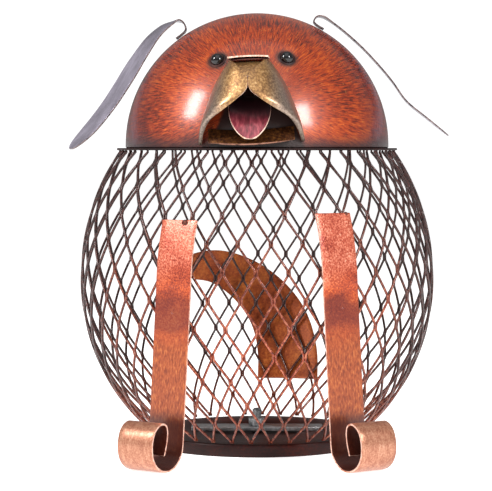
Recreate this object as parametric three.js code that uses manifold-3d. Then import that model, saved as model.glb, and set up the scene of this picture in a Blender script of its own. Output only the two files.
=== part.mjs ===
// Puppy money bank: an expanded-metal barrel on a sheet base, with a sheet-metal head,
// strip legs with rolled feet, a flat sickle tail and a screwed hatch underneath.
// Millimetres, +Z up, the puppy looks along -Y. It stands on Z = 0.
// Left and right are as seen by someone who faces the puppy: left is -X.
import * as THREE from 'three';
import { mergeVertices } from 'three/addons/utils/BufferGeometryUtils.js';
import Module from 'manifold-3d';

const wasm = await Module();
wasm.setup();

// Gaps between pieces that touch or are welded on the real bank
const seatGap = 0.3;
const boltGap = 0.2;
const holeClearance = 0.25;

// Base pan: a flat dish turned upside down
const panRadius = 57.5;
const panSheet = 1;
const panEdgeRadius = 1.2;

// Hatch under the pan, with room between the screw's head and the table
const hatchFloorGap = 0.7;
const hatchHoleRadius = 26;
const hatchOverlap = 6;
const hatchSheet = 1;
const crossbarWidth = 14;
const crossbarSheet = 2;
const crossbarOverlap = 9;
const screwRadius = 2.5;
const screwLength = 15;
const screwHeadHeight = 2.5;
const screwKnurls = 20;
const knurlDepth = 0.35;
const washerRadius = screwRadius + 3.5;
const washerSheet = 0.8;
const screwHeadRadius = washerRadius + 2;
const nutAcrossCorners = 2 * screwRadius + 4;
const nutHeight = 4;
const panHeight =
  panSheet + hatchSheet + washerSheet + screwHeadHeight + hatchFloorGap + 3 * boltGap;

// Head: a half ball of sheet on a short straight skirt
const headRadius = 70;
const headSkirt = 1.2;
const headSheet = 1;
const slotWidth = 34;
const slotHeight = 4;
const slotElevation = THREE.MathUtils.degToRad(42);
const roundSteps = 40;

// Barrel of expanded metal: radii are to the middle of the strands
const barrelRadius = 93.5;
const barrelWidestHeight = 88;
const barrelTopRadius = headRadius + 3;
const barrelTop = 155.4;
const meshColumns = 36;
const meshRows = 11.45;
const strandThickness = 1.3;
const bondHalfWidth = 0.9;
const bondHalfHeight = 1.25;
const meshTwist = THREE.MathUtils.degToRad(-4);

// Collar that closes the top of the barrel
const collarOuterRadius = barrelTopRadius + 1.6;
const collarInnerRadius = headRadius - 4;
const collarThickness = 1.2;

// Face
const faceTurn = THREE.MathUtils.degToRad(-2.2);
const faceTilt = THREE.MathUtils.degToRad(-1.6);
const muzzleTilt = THREE.MathUtils.degToRad(-0.6);
const faceSheet = 0.9;
const edgeGap = 0.9;
const flapGap = 1.15;
const muzzleTopHeight = 44;
const muzzleTopHalfWidth = 9.6;
const muzzleTopReach = headRadius + 5;
const muzzleFootHeight = 2.4;
const muzzleFootHalfWidth = 26;
const muzzleSeamTop = muzzleTopHeight - 7.5;
const muzzleSeamFoot = muzzleTopHeight - 15;
const muzzleReach = headRadius + 18;
const eyeRadius = 3.5;
const eyeSpacing = 2 * muzzleTopHalfWidth + 16;
const eyeShift = 0.7;
const eyeHeight = muzzleTopHeight - 0.5;
const tongueWidth = 21;
const tongueTop = muzzleSeamFoot - 4;
const tongueTipHeight = 4.2;
const tongueReach = headRadius + 15;
const jawHalfWidth = muzzleFootHalfWidth - 4.5;
const jawRise = 7;
const jawCup = 1.5;
const jawReach = headRadius + 12;

// Ears
const earSheet = 0.8;
const earTabWidth = 11;
const earWidth = 33;
const earTabShare = 0.1;
const earTurnLeft = THREE.MathUtils.degToRad(19.5);
const earTurnRight = THREE.MathUtils.degToRad(4);

// Legs
const legWidth = 20.8;
const legSheet = 1;
const legTopLeft = 122;
const legTopRight = 125.4;
const legFacing = THREE.MathUtils.degToRad(33.5);
const legLean = 0.022;
const legOffset = 11.8;
const legGap = 0.6;
const legSplay = 4.2;
const footRadius = 12.3;
const footReach = 13.2;

// Tail
const tailSheet = 1;
const tailGap = 0.7;
const tailTipStandoff = 14;

// Heights that follow from the sizes above
const barrelBottom = panHeight + seatGap + strandThickness / 2;
const barrelBottomRadius = panRadius - 0.5;
const collarBottom = barrelTop + seatGap + strandThickness / 2;
const headBase = collarBottom + collarThickness + seatGap;
const headCentre = headBase + headSkirt;

const finish = (colour, roughness, metalness) =>
  new THREE.MeshStandardMaterial({ color: colour, roughness, metalness });

const materials = {
  headPaint: finish('#b5461f', 0.35, 0.45),
  legPaint: finish('#b4502c', 0.45, 0.4),
  meshPaint: finish('#4a2a22', 0.5, 0.6),
  basePaint: finish('#3d1a16', 0.5, 0.5),
  muzzleBronze: finish('#8a6a45', 0.35, 0.7),
  earLacquer: finish('#8d8288', 0.25, 0.7),
  tailPaint: finish('#5e2c1a', 0.55, 0.4),
  tonguePaint: finish('#b44a55', 0.4, 0.2),
  eyeGloss: finish('#0c0b0d', 0.08, 0),
  plainSteel: finish('#9a9a9c', 0.4, 1),
};

const bank = new THREE.Group();

function addPart(parent, name, geometry, material) {
  const mesh = new THREE.Mesh(geometry, material);
  mesh.name = name;
  parent.add(mesh);
  return mesh;
}

// --- Shape helpers ---

function signedVolume(positions, indices) {
  const [a, b, c] = [new THREE.Vector3(), new THREE.Vector3(), new THREE.Vector3()];
  let sum = 0;
  for (let i = 0; i < indices.length; i += 3) {
    a.fromArray(positions, indices[i] * 3);
    b.fromArray(positions, indices[i + 1] * 3);
    c.fromArray(positions, indices[i + 2] * 3);
    sum += a.dot(b.cross(c));
  }
  return sum / 6;
}

function closedGeometry(positions, indices) {
  if (signedVolume(positions, indices) < 0) {
    indices.reverse();
  }
  const geometry = new THREE.BufferGeometry();
  geometry.setAttribute('position', new THREE.Float32BufferAttribute(positions, 3));
  geometry.setIndex(indices);
  return geometry;
}

// A thin sheet. surface(u, v), with u and v from 0 to 1, is the middle of the sheet.
function sheet(surface, stepsU, stepsV, thickness) {
  const positions = [];
  const indices = [];
  const nudge = 1e-3;
  const layer = (stepsU + 1) * (stepsV + 1);
  const along = new THREE.Vector3();
  const across = new THREE.Vector3();
  const points = [];
  const normals = [];
  for (let j = 0; j <= stepsV; j++) {
    for (let i = 0; i <= stepsU; i++) {
      const u = i / stepsU;
      const v = j / stepsV;
      const [u0, u1] = [Math.max(0, u - nudge), Math.min(1, u + nudge)];
      const [v0, v1] = [Math.max(0, v - nudge), Math.min(1, v + nudge)];
      along.subVectors(surface(u1, v), surface(u0, v));
      across.subVectors(surface(u, v1), surface(u, v0));
      points.push(surface(u, v));
      normals.push(new THREE.Vector3().crossVectors(along, across).normalize());
    }
  }
  for (const side of [0.5, -0.5]) {
    points.forEach((point, k) => {
      positions.push(...point.clone().addScaledVector(normals[k], side * thickness).toArray());
    });
  }
  const quad = (a, b, c, d) => indices.push(a, b, c, a, c, d);
  const at = (i, j) => j * (stepsU + 1) + i;
  for (let j = 0; j < stepsV; j++) {
    for (let i = 0; i < stepsU; i++) {
      const [a, b, c, d] = [at(i, j), at(i + 1, j), at(i + 1, j + 1), at(i, j + 1)];
      quad(a, b, c, d);
      quad(a + layer, d + layer, c + layer, b + layer);
    }
  }
  const rim = (a, b) => quad(b, a, a + layer, b + layer);
  for (let i = 0; i < stepsU; i++) {
    rim(at(i, 0), at(i + 1, 0));
    rim(at(i + 1, stepsV), at(i, stepsV));
  }
  for (let j = 0; j < stepsV; j++) {
    rim(at(0, j + 1), at(0, j));
    rim(at(stepsU, j), at(stepsU, j + 1));
  }
  return closedGeometry(positions, indices);
}

function lathe(outline, steps) {
  const points = outline.map(([radius, height]) => new THREE.Vector2(radius, height));
  const turned = new THREE.LatheGeometry(points, steps);
  // LatheGeometry turns about Y; this stands it on Z
  turned.rotateX(Math.PI / 2);
  turned.deleteAttribute('normal');
  turned.deleteAttribute('uv');
  const merged = mergeVertices(turned, 1e-4);
  const kept = [];
  const index = merged.index.array;
  for (let i = 0; i < index.length; i += 3) {
    const [a, b, c] = [index[i], index[i + 1], index[i + 2]];
    if (a !== b && b !== c && c !== a) {
      kept.push(a, b, c);
    }
  }
  return closedGeometry(Array.from(merged.attributes.position.array), kept);
}

// A flat plate or bar with the given outline, from height low to height high
function plate(shape, low, high, curveSegments = 12) {
  const geometry = new THREE.ExtrudeGeometry(shape, {
    depth: high - low,
    bevelEnabled: false,
    curveSegments,
  });
  return geometry.translate(0, 0, low);
}

function circlePath(radius) {
  return new THREE.Path().absarc(0, 0, radius, 0, 2 * Math.PI, true);
}

function toSolid(geometry) {
  const bare = geometry.clone();
  bare.deleteAttribute('normal');
  bare.deleteAttribute('uv');
  const merged = mergeVertices(bare, 1e-4);
  return new wasm.Manifold(
    new wasm.Mesh({
      numProp: 3,
      vertProperties: new Float32Array(merged.attributes.position.array),
      triVerts: new Uint32Array(merged.index.array),
    }),
  );
}

function fromSolid(solid) {
  const cut = solid.getMesh();
  return closedGeometry(Array.from(cut.vertProperties), Array.from(cut.triVerts));
}

// Point on a smooth curve through a few [x, z] pairs or numbers
function smoothCurve(points) {
  return new THREE.CatmullRomCurve3(
    points.map((p) => new THREE.Vector3(p[0], p[1], p[2] ?? 0)),
    false,
    'centripetal',
  );
}

// --- Barrel ---

const lowerHalf =
  (barrelWidestHeight - barrelBottom) / Math.sqrt(1 - (barrelBottomRadius / barrelRadius) ** 2);
const upperHalf =
  (barrelTop - barrelWidestHeight) / Math.sqrt(1 - (barrelTopRadius / barrelRadius) ** 2);

// Radius of the middle of the strands: two half ellipses that meet at the widest place
function barrelRadiusAt(height) {
  const rise = height - barrelWidestHeight;
  const reach = rise > 0 ? upperHalf : lowerHalf;
  return barrelRadius * Math.sqrt(1 - (rise / reach) ** 2);
}

// The height at a given length of strand up the barrel's side, and that side's whole length
function measureSide() {
  const steps = 400;
  const heights = [barrelBottom];
  const lengths = [0];
  for (let i = 1; i <= steps; i++) {
    const height = barrelBottom + ((barrelTop - barrelBottom) * i) / steps;
    const outward = barrelRadiusAt(height) - barrelRadiusAt(heights[i - 1]);
    lengths.push(lengths[i - 1] + Math.hypot(height - heights[i - 1], outward));
    heights.push(height);
  }
  const heightAt = (length) => {
    let i = 1;
    while (i < steps && lengths[i] < length) {
      i++;
    }
    const share = (length - lengths[i - 1]) / (lengths[i] - lengths[i - 1]);
    return heights[i - 1] + share * (heights[i] - heights[i - 1]);
  };
  return { whole: lengths[steps], heightAt };
}

// One sheet of expanded metal: bonds in staggered rows, with a strand from each bond
// to the two above it. The last strands are cut off part of the way up.
function barrelMesh() {
  const side = measureSide();
  const rowPitch = side.whole / meshRows;
  const columnPitch = (2 * Math.PI) / meshColumns;
  const positions = [];
  const indices = [];
  const [foot, right, head, left] = [0, 1, 2, 3];

  // Adds the outer and inner point at an angle round the barrel and a length up its side
  const addPoint = ([angle, length]) => {
    const height = side.heightAt(length);
    const probe = 0.5;
    const outward = barrelRadiusAt(height + probe) - barrelRadiusAt(height - probe);
    const lean = Math.atan2(outward, 2 * probe);
    const turned = angle + columnPitch / 2 + meshTwist * (length / side.whole - 0.5);
    for (const offset of [strandThickness / 2, -strandThickness / 2]) {
      const radius = barrelRadiusAt(height) + offset * Math.cos(lean);
      positions.push(
        radius * Math.sin(turned),
        -radius * Math.cos(turned),
        height - offset * Math.sin(lean),
      );
    }
    return positions.length / 3 - 2;
  };

  // Adds a four-cornered piece of the sheet, with a cut edge on each side named in edges
  const addPiece = (corners, edges) => {
    const [a, b, c, d] = corners;
    indices.push(a, b, c, a, c, d, a + 1, c + 1, b + 1, a + 1, d + 1, c + 1);
    for (const edge of edges) {
      const p = corners[edge];
      const q = corners[(edge + 1) % 4];
      indices.push(p, p + 1, q + 1, p, q + 1, q);
    }
  };

  const bondCorners = (row, column) => {
    const angle = (column + (row % 2) / 2) * columnPitch;
    const length = row * rowPitch;
    const halfAngle = bondHalfWidth / barrelRadiusAt(side.heightAt(Math.min(length, side.whole)));
    const below = row === 0 ? 0 : bondHalfHeight;
    return [
      [angle, length - below],
      [angle + halfAngle, length],
      [angle, length + bondHalfHeight],
      [angle - halfAngle, length],
    ];
  };

  const wholeRows = Math.floor(meshRows);
  const cutShare = meshRows - wholeRows;
  const bonds = [];
  for (let row = 0; row <= wholeRows; row++) {
    bonds.push([]);
    for (let column = 0; column < meshColumns; column++) {
      bonds[row].push(bondCorners(row, column).map(addPoint));
    }
  }
  const cutEnd = (from, to) =>
    addPoint([
      from[0] + (to[0] - from[0]) * cutShare,
      Math.min(side.whole, from[1] + (to[1] - from[1]) * cutShare),
    ]);

  for (let row = 0; row <= wholeRows; row++) {
    for (let column = 0; column < meshColumns; column++) {
      const bond = bonds[row][column];
      const toRight = row % 2 ? column + 1 : column;
      const toLeft = toRight - 1;
      addPiece(bond, row === 0 ? [foot, left] : []);
      if (row < wholeRows) {
        const upRight = bonds[row + 1][toRight % meshColumns];
        const upLeft = bonds[row + 1][(toLeft + meshColumns) % meshColumns];
        addPiece([bond[right], upRight[foot], upRight[left], bond[head]], [0, 2]);
        addPiece([bond[left], bond[head], upLeft[right], upLeft[foot]], [1, 3]);
      } else {
        const own = bondCorners(row, column);
        const upRight = bondCorners(row + 1, toRight);
        const upLeft = bondCorners(row + 1, toLeft);
        const rightEnds = [cutEnd(own[right], upRight[foot]), cutEnd(own[head], upRight[left])];
        const leftEnds = [cutEnd(own[head], upLeft[right]), cutEnd(own[left], upLeft[foot])];
        addPiece([bond[right], ...rightEnds, bond[head]], [0, 1, 2]);
        addPiece([bond[left], bond[head], ...leftEnds], [1, 2, 3]);
      }
    }
  }
  return closedGeometry(positions, indices);
}

function buildBarrel() {
  addPart(bank, 'barrel_mesh', barrelMesh(), materials.meshPaint);
  const collar = lathe(
    [
      [collarInnerRadius, collarBottom],
      [collarOuterRadius - collarThickness / 3, collarBottom],
      [collarOuterRadius, collarBottom + collarThickness / 3],
      [collarOuterRadius, collarBottom + (2 * collarThickness) / 3],
      [collarOuterRadius - collarThickness / 3, collarBottom + collarThickness],
      [collarInnerRadius, collarBottom + collarThickness],
      [collarInnerRadius, collarBottom],
    ],
    roundSteps,
  );
  addPart(bank, 'top_collar', collar, materials.meshPaint);
}

// --- Base pan and hatch ---

function buildBasePan() {
  const inner = panRadius - panSheet;
  const pan = lathe(
    [
      [hatchHoleRadius, panHeight - panSheet],
      [inner - panEdgeRadius, panHeight - panSheet],
      [inner, panHeight - panSheet - panEdgeRadius],
      [inner, 0],
      [panRadius, 0],
      [panRadius, panHeight - panEdgeRadius],
      [panRadius - panEdgeRadius, panHeight],
      [hatchHoleRadius, panHeight],
      [hatchHoleRadius, panHeight - panSheet],
    ],
    roundSteps,
  );
  addPart(bank, 'base_pan', pan, materials.basePaint);
}

function buildHatch() {
  const boltHole = screwRadius + holeClearance;
  const coverTop = panHeight - panSheet - boltGap;
  const coverBottom = coverTop - hatchSheet;
  const washerTop = coverBottom - boltGap;
  const washerBottom = washerTop - washerSheet;
  const headTop = washerBottom - boltGap;
  const barBottom = panHeight + boltGap;
  const barTop = barBottom + crossbarSheet;
  const nutBottom = barTop + boltGap;

  const cover = new THREE.Shape().absarc(0, 0, hatchHoleRadius + hatchOverlap, 0, 2 * Math.PI);
  cover.holes.push(circlePath(boltHole));
  addPart(bank, 'hatch_cover', plate(cover, coverBottom, coverTop, 24), materials.basePaint);

  const washer = new THREE.Shape().absarc(0, 0, washerRadius, 0, 2 * Math.PI);
  washer.holes.push(circlePath(boltHole));
  addPart(bank, 'hatch_washer', plate(washer, washerBottom, washerTop), materials.plainSteel);

  const halfLength = hatchHoleRadius + crossbarOverlap;
  const bar = new THREE.Shape();
  bar.moveTo(-halfLength, -crossbarWidth / 2);
  bar.lineTo(halfLength, -crossbarWidth / 2);
  bar.lineTo(halfLength, crossbarWidth / 2);
  bar.lineTo(-halfLength, crossbarWidth / 2);
  bar.closePath();
  bar.holes.push(circlePath(boltHole));
  addPart(bank, 'hatch_crossbar', plate(bar, barBottom, barTop), materials.plainSteel);

  const nut = new THREE.Shape();
  for (let k = 0; k < 6; k++) {
    const angle = (k * Math.PI) / 3;
    const corner = [(nutAcrossCorners / 2) * Math.cos(angle), (nutAcrossCorners / 2) * Math.sin(angle)];
    if (k === 0) {
      nut.moveTo(...corner);
    } else {
      nut.lineTo(...corner);
    }
  }
  nut.closePath();
  nut.holes.push(circlePath(boltHole));
  addPart(bank, 'hatch_nut', plate(nut, nutBottom, nutBottom + nutHeight), materials.plainSteel);

  addPart(bank, 'hatch_screw', thumbScrew(headTop), materials.plainSteel);
}

// Knurled thumb screw: a toothed head below, a plain shank above with a pointed end
function thumbScrew(headTop) {
  const knurled = new THREE.Shape();
  const teeth = screwKnurls * 2;
  for (let k = 0; k <= teeth; k++) {
    const angle = (k * 2 * Math.PI) / teeth;
    const radius = screwHeadRadius - (k % 2) * knurlDepth;
    const corner = [radius * Math.cos(angle), radius * Math.sin(angle)];
    if (k === 0) {
      knurled.moveTo(...corner);
    } else {
      knurled.lineTo(...corner);
    }
  }
  const headSolid = toSolid(plate(knurled, headTop - screwHeadHeight, headTop));
  const shank = lathe(
    [
      [0, headTop - screwHeadHeight / 2],
      [screwRadius, headTop - screwHeadHeight / 2],
      [screwRadius, headTop + screwLength - 1],
      [screwRadius - 1, headTop + screwLength],
      [0, headTop + screwLength],
    ],
    20,
  );
  return fromSolid(headSolid.add(toSolid(shank)));
}

// --- Head ---

function buildHead() {
  const outline = [];
  const arcSteps = 10;
  const inner = headRadius - headSheet;
  for (let k = 0; k <= arcSteps; k++) {
    const angle = (k / arcSteps) * (Math.PI / 2);
    outline.push([headRadius * Math.sin(angle), headCentre + headRadius * Math.cos(angle)]);
  }
  outline.push([headRadius, headBase]);
  outline.push([inner, headBase]);
  for (let k = arcSteps; k >= 0; k--) {
    const angle = (k / arcSteps) * (Math.PI / 2);
    outline.push([inner * Math.sin(angle), headCentre + inner * Math.cos(angle)]);
  }
  let dome = toSolid(lathe(outline, roundSteps));

  const slotDepth = 12;
  const slot = new THREE.BoxGeometry(slotWidth, slotDepth, slotHeight);
  slot.translate(0, headRadius, 0);
  slot.rotateX(slotElevation);
  slot.translate(0, 0, headCentre);
  dome = dome.subtract(toSolid(slot));

  const eyeHole = new THREE.SphereGeometry(eyeRadius + 2 * holeClearance, 16, 10);
  for (const place of eyePlaces()) {
    const hole = eyeHole.clone().translate(place.x, place.y, place.z);
    dome = dome.subtract(toSolid(hole));
  }
  addPart(bank, 'head_dome', fromSolid(dome), materials.headPaint);
}

// Middles of the two eyes, on the head's surface, in the bank's frame
function eyePlaces() {
  return [-1, 1].map((side) => {
    const x = (side * eyeSpacing) / 2 + eyeShift;
    const y = -Math.sqrt(headRadius ** 2 - eyeHeight ** 2 - x ** 2);
    const place = new THREE.Vector3(x, y, eyeHeight);
    place.applyEuler(new THREE.Euler(0, faceTilt, faceTurn, 'ZYX'));
    return place.add(new THREE.Vector3(0, 0, headCentre));
  });
}

function buildEyes() {
  ['eye_left', 'eye_right'].forEach((name, k) => {
    const place = eyePlaces()[k];
    const bead = new THREE.SphereGeometry(eyeRadius, 14, 9);
    bead.deleteAttribute('normal');
    bead.deleteAttribute('uv');
    addPart(bank, name, fromSolid(toSolid(bead)), materials.eyeGloss).position.copy(place);
  });
}

// Distance from the head's axis to its skin, at a height above the head's base
// and a distance to the side
function headFront(height, sideways) {
  const rise = Math.max(0, height - headSkirt);
  return Math.sqrt(headRadius ** 2 - rise ** 2 - sideways ** 2);
}

// The muzzle is worked out in its own frame, at the middle of the head's base: half widths
// to each side, reach towards -Y, height upwards.
function muzzleFlap(side) {
  // Edge that lies against the head, from the nose down to the corner of the mouth: how far
  // it has spread on the way down, and how high it is
  const spread = (share) => THREE.MathUtils.lerp(muzzleTopHalfWidth, muzzleFootHalfWidth, share);
  const rootEdge = smoothCurve([
    [spread(0), 0, muzzleTopHeight],
    [spread(0.463), 0, 0.727 * muzzleTopHeight],
    [spread(0.756), 0, 0.455 * muzzleTopHeight],
    [spread(0.927), 0, 0.25 * muzzleTopHeight],
    [spread(1), 0, muzzleFootHeight],
  ]);
  // Free edge: from the nose to the seam, down the seam, then along the lip to the corner
  const seamHalf = seatGap / 2 + faceSheet * 0.6;
  const freeEdge = smoothCurve([
    [muzzleTopHalfWidth - 1.4, muzzleTopReach, muzzleTopHeight - 0.8],
    [0.44 * muzzleTopHalfWidth, muzzleTopReach + 6, muzzleSeamTop + 3],
    [seamHalf, muzzleTopReach + 9.5, muzzleSeamTop - 0.5],
    [seamHalf, muzzleReach, muzzleSeamFoot],
    [0.223 * muzzleFootHalfWidth, muzzleReach + 0.5, 0.828 * muzzleSeamFoot],
    [0.462 * muzzleFootHalfWidth, muzzleReach - 1.5, 0.683 * muzzleSeamFoot],
    [0.754 * muzzleFootHalfWidth, muzzleReach - 6.5, 0.503 * muzzleSeamFoot],
    [0.9 * muzzleFootHalfWidth, muzzleReach - 13.5, 0.297 * muzzleSeamFoot],
    [muzzleFootHalfWidth - 0.9, muzzleReach - 21, muzzleFootHeight],
  ]);
  const surface = (u, v) => {
    const root = rootEdge.getPoint(v);
    const free = freeEdge.getPoint(v);
    const reach = headFront(root.z, root.x) + flapGap;
    const bulge = new THREE.Vector3(
      root.x * 0.94 + free.x * 0.1,
      reach + (free.y - reach) * 0.92,
      root.z * 0.55 + free.z * 0.45,
    );
    const [a, b, c] = [(1 - u) ** 2, 2 * u * (1 - u), u ** 2];
    return new THREE.Vector3(
      side * (a * root.x + b * bulge.x + c * free.x),
      -(a * reach + b * bulge.y + c * free.y),
      a * root.z + b * bulge.z + c * free.z,
    );
  };
  return sheet(surface, 6, 14, faceSheet);
}

function noseBridge() {
  const rise = muzzleTopHeight + faceSheet / 2 + edgeGap;
  const surface = (u, v) => {
    const x = (u - 0.5) * 2 * (muzzleTopHalfWidth + 0.6);
    const root = headFront(rise, x) + edgeGap;
    const front = muzzleTopReach + 0.8;
    return new THREE.Vector3(x, -(root + (front - root) * v), rise - 0.5 * (2 * u - 1) ** 2);
  };
  return sheet(surface, 6, 3, faceSheet);
}

// Three-cornered plate that closes the nose between the flaps, a little below their edges
function nosePad() {
  const edge = smoothCurve([
    [muzzleTopHalfWidth - 2.2, muzzleTopReach - 11, muzzleTopHeight - 1.4],
    [muzzleTopHalfWidth - 2.4, muzzleTopReach - 0.5, muzzleTopHeight - 2.4],
    [0.35 * muzzleTopHalfWidth, muzzleTopReach + 5.3, muzzleSeamTop + 1.7],
    [seatGap, muzzleTopReach + 8, muzzleSeamTop - 1.5],
  ]);
  const surface = (u, v) => {
    const { x: half, y: reach, z: height } = edge.getPoint(v);
    return new THREE.Vector3((2 * u - 1) * half, -reach, height);
  };
  return sheet(surface, 4, 12, faceSheet);
}

function tongue() {
  const surface = (u, v) => {
    const taper = Math.sqrt(Math.max(0.03, 1 - Math.max(0, (v - 0.45) / 0.57) ** 2));
    const across = (u - 0.5) * 2;
    const x = (across * tongueWidth * taper) / 2;
    const root = headFront(tongueTop, x) + edgeGap;
    const reach = root + (tongueReach - root) * v ** 0.8;
    const height = tongueTop - (tongueTop - tongueTipHeight) * v ** 1.2 + 2 * across ** 2 * taper;
    return new THREE.Vector3(x, -reach, height);
  };
  return sheet(surface, 8, 10, faceSheet);
}

// The floor of the mouth: a ramp that runs down from the head to the lip
function lowerJaw() {
  const sweep = THREE.MathUtils.degToRad(72);
  const surface = (u, v) => {
    const angle = (u - 0.5) * 2 * sweep;
    const x = (jawHalfWidth * Math.sin(angle)) / Math.sin(sweep);
    const low = 2 * seatGap + faceSheet + jawCup * (x / jawHalfWidth) ** 2;
    const root = headFront(low + jawRise, x) + edgeGap;
    const front = jawReach - 12 * (x / jawHalfWidth) ** 2;
    return new THREE.Vector3(x, -(root + (front - root) * v), low + jawRise * (1 - v));
  };
  return sheet(surface, 12, 4, faceSheet);
}

function buildMuzzle() {
  const face = new THREE.Group();
  face.position.set(0, 0, headBase);
  face.rotation.set(0, faceTilt + muzzleTilt, faceTurn, 'ZYX');
  bank.add(face);
  addPart(face, 'nose_bridge', noseBridge(), materials.muzzleBronze);
  addPart(face, 'nose_pad', nosePad(), materials.muzzleBronze);
  addPart(face, 'muzzle_flap_left', muzzleFlap(-1), materials.muzzleBronze);
  addPart(face, 'muzzle_flap_right', muzzleFlap(1), materials.muzzleBronze);
  addPart(face, 'tongue', tongue(), materials.tonguePaint);
  addPart(face, 'lower_jaw', lowerJaw(), materials.muzzleBronze);
}

// --- Ears ---

// Side view of an ear, in shares of the head's radius: where its welded foot lies on the head, by
// distance from the head's axis, then [distance from the axis, height above the head's base]
// round the hook and down to the tip
const earRight = {
  foot: [0.506, 0.466],
  blade: [
    [0.431, 0.951],
    [0.451, 0.989],
    [0.497, 0.991],
    [0.593, 0.931],
    [0.777, 0.776],
    [0.939, 0.606],
    [1.034, 0.491],
    [1.137, 0.349],
    [1.286, 0.226],
    [1.457, 0.089],
  ],
};
const earLeft = {
  foot: [0.614, 0.577],
  blade: [
    [0.541, 0.891],
    [0.56, 0.947],
    [0.62, 0.961],
    [0.763, 0.866],
    [0.9, 0.683],
    [1.013, 0.499],
    [1.134, 0.316],
    [1.28, 0.133],
    [1.423, -0.017],
  ],
};

function ear(side, { foot, blade }, turn) {
  const footPoints = foot.map((share) => {
    const out = share * headRadius;
    const rise = headFront(headSkirt, out);
    const slope = out / rise;
    const upright = (earSheet / 2 + 2 * seatGap) * Math.hypot(1, slope);
    return [out, headSkirt + rise + upright];
  });
  const bladePoints = blade.map(([out, up]) => [out * headRadius, up * headRadius]);
  const spine = smoothCurve([...footPoints, ...bladePoints].map(([out, up]) => [out, 0, up]));
  const halfWidth = (v) => {
    const beyondTab = Math.sqrt(THREE.MathUtils.clamp((v - earTabShare) / (0.5 - earTabShare), 0, 1));
    const full = earTabWidth + (earWidth - earTabWidth) * beyondTab;
    const tip = Math.sqrt(Math.max(0.02, 1 - Math.max(0, (v - 0.84) / 0.163) ** 2));
    return (full * tip) / 2;
  };
  // The tab points straight back and the blade is turned
  const turnAt = (v) => turn * THREE.MathUtils.smoothstep(v, earTabShare, 2 * earTabShare);
  const surface = (u, v) => {
    const point = spine.getPointAt(v);
    const across = (u - 0.5) * 2 * halfWidth(v);
    return new THREE.Vector3(
      side * (point.x - across * Math.sin(turnAt(v))),
      -across * Math.cos(turnAt(v)),
      headBase + point.z,
    );
  };
  return sheet(surface, 4, 24, earSheet);
}

function buildEars() {
  addPart(bank, 'ear_left', ear(-1, earLeft, earTurnLeft), materials.earLacquer);
  addPart(bank, 'ear_right', ear(1, earRight, earTurnRight), materials.earLacquer);
}

// --- Legs ---

// The roll of a foot, [forward, up] from its middle in shares of its reach and its radius: from
// the heel underneath and over the front, to the end that hangs inside
const footRoll = [
  [-1, 0],
  [-0.924, -0.383],
  [-0.707, -0.707],
  [-0.383, -0.924],
  [0, -1],
  [0.383, -0.924],
  [0.707, -0.707],
  [0.924, -0.383],
  [1, 0],
  [0.97, 0.37],
  [0.84, 0.71],
  [0.6, 0.93],
  [0.33, 1],
  [0.12, 0.9],
  [0.03, 0.66],
  [0.05, 0.3],
  [0.12, 0],
  [0.22, -0.32],
];

// Middle line of the strip seen from the side: [distance forward, height]
function legLine(legTop) {
  const line = [];
  const innerEdge = legOffset - legWidth / 2;
  const strandFace = strandThickness / 2;
  const forward = (height) =>
    Math.sqrt((barrelRadiusAt(height) + strandFace) ** 2 - innerEdge ** 2) + legGap + legSheet / 2;
  const hugSteps = 8;
  for (let k = 0; k <= hugSteps; k++) {
    const height = legTop + ((barrelWidestHeight - legTop) * k) / hugSteps;
    line.push([forward(height), height]);
  }
  const reach = footReach - legSheet / 2;
  const rise = footRadius - legSheet / 2;
  const middle = forward(barrelWidestHeight) + legSplay + reach;
  const roll = smoothCurve(footRoll);
  const rollSteps = 48;
  for (let k = 0; k <= rollSteps; k++) {
    const point = roll.getPoint(k / rollSteps);
    line.push([middle + reach * point.x, footRadius + rise * point.y]);
  }
  return line;
}

// Closed outline of a strip whose middle line is given
function stripShape(line, thickness) {
  const edge = (sign) =>
    line.map(([x, y], k) => {
      const [x0, y0] = line[Math.max(0, k - 1)];
      const [x1, y1] = line[Math.min(line.length - 1, k + 1)];
      const length = Math.hypot(x1 - x0, y1 - y0);
      const half = (sign * thickness) / 2;
      return new THREE.Vector2(x - (half * (y1 - y0)) / length, y + (half * (x1 - x0)) / length);
    });
  return new THREE.Shape([...edge(1), ...edge(-1).reverse()]);
}

function leg(side, legTop) {
  const strip = new THREE.ExtrudeGeometry(stripShape(legLine(legTop), legSheet), {
    depth: legWidth,
    bevelEnabled: false,
  });
  const stand = new THREE.Matrix4().makeBasis(
    new THREE.Vector3(0, -1, 0),
    new THREE.Vector3(0, 0, 1),
    new THREE.Vector3(-1, 0, 0),
  );
  strip.applyMatrix4(stand);
  strip.translate(legWidth / 2 - side * legOffset, 0, 0);
  // The strip leans a little towards the middle as it rises
  const lean = new THREE.Matrix4().makeShear(0, 0, 0, 0, -side * legLean, 0);
  return strip.applyMatrix4(lean);
}

function buildLegs() {
  const left = addPart(bank, 'leg_left', leg(-1, legTopLeft), materials.legPaint);
  left.rotation.z = -legFacing;
  const right = addPart(bank, 'leg_right', leg(1, legTopRight), materials.legPaint);
  right.rotation.z = legFacing;
}

// --- Tail ---

// Middle line of the flat sickle seen from the front: [sideways, height], and its width there
const tailLine = [
  [17.5, 26],
  [17.4, 41],
  [13.6, 56.4],
  [5, 70],
  [-8.5, 81.7],
  [-24, 88.4],
  [-38, 88],
  [-46, 84],
];
const tailWidths = [34, 34, 32.5, 29, 24.5, 19.5, 14.5, 5];

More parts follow.
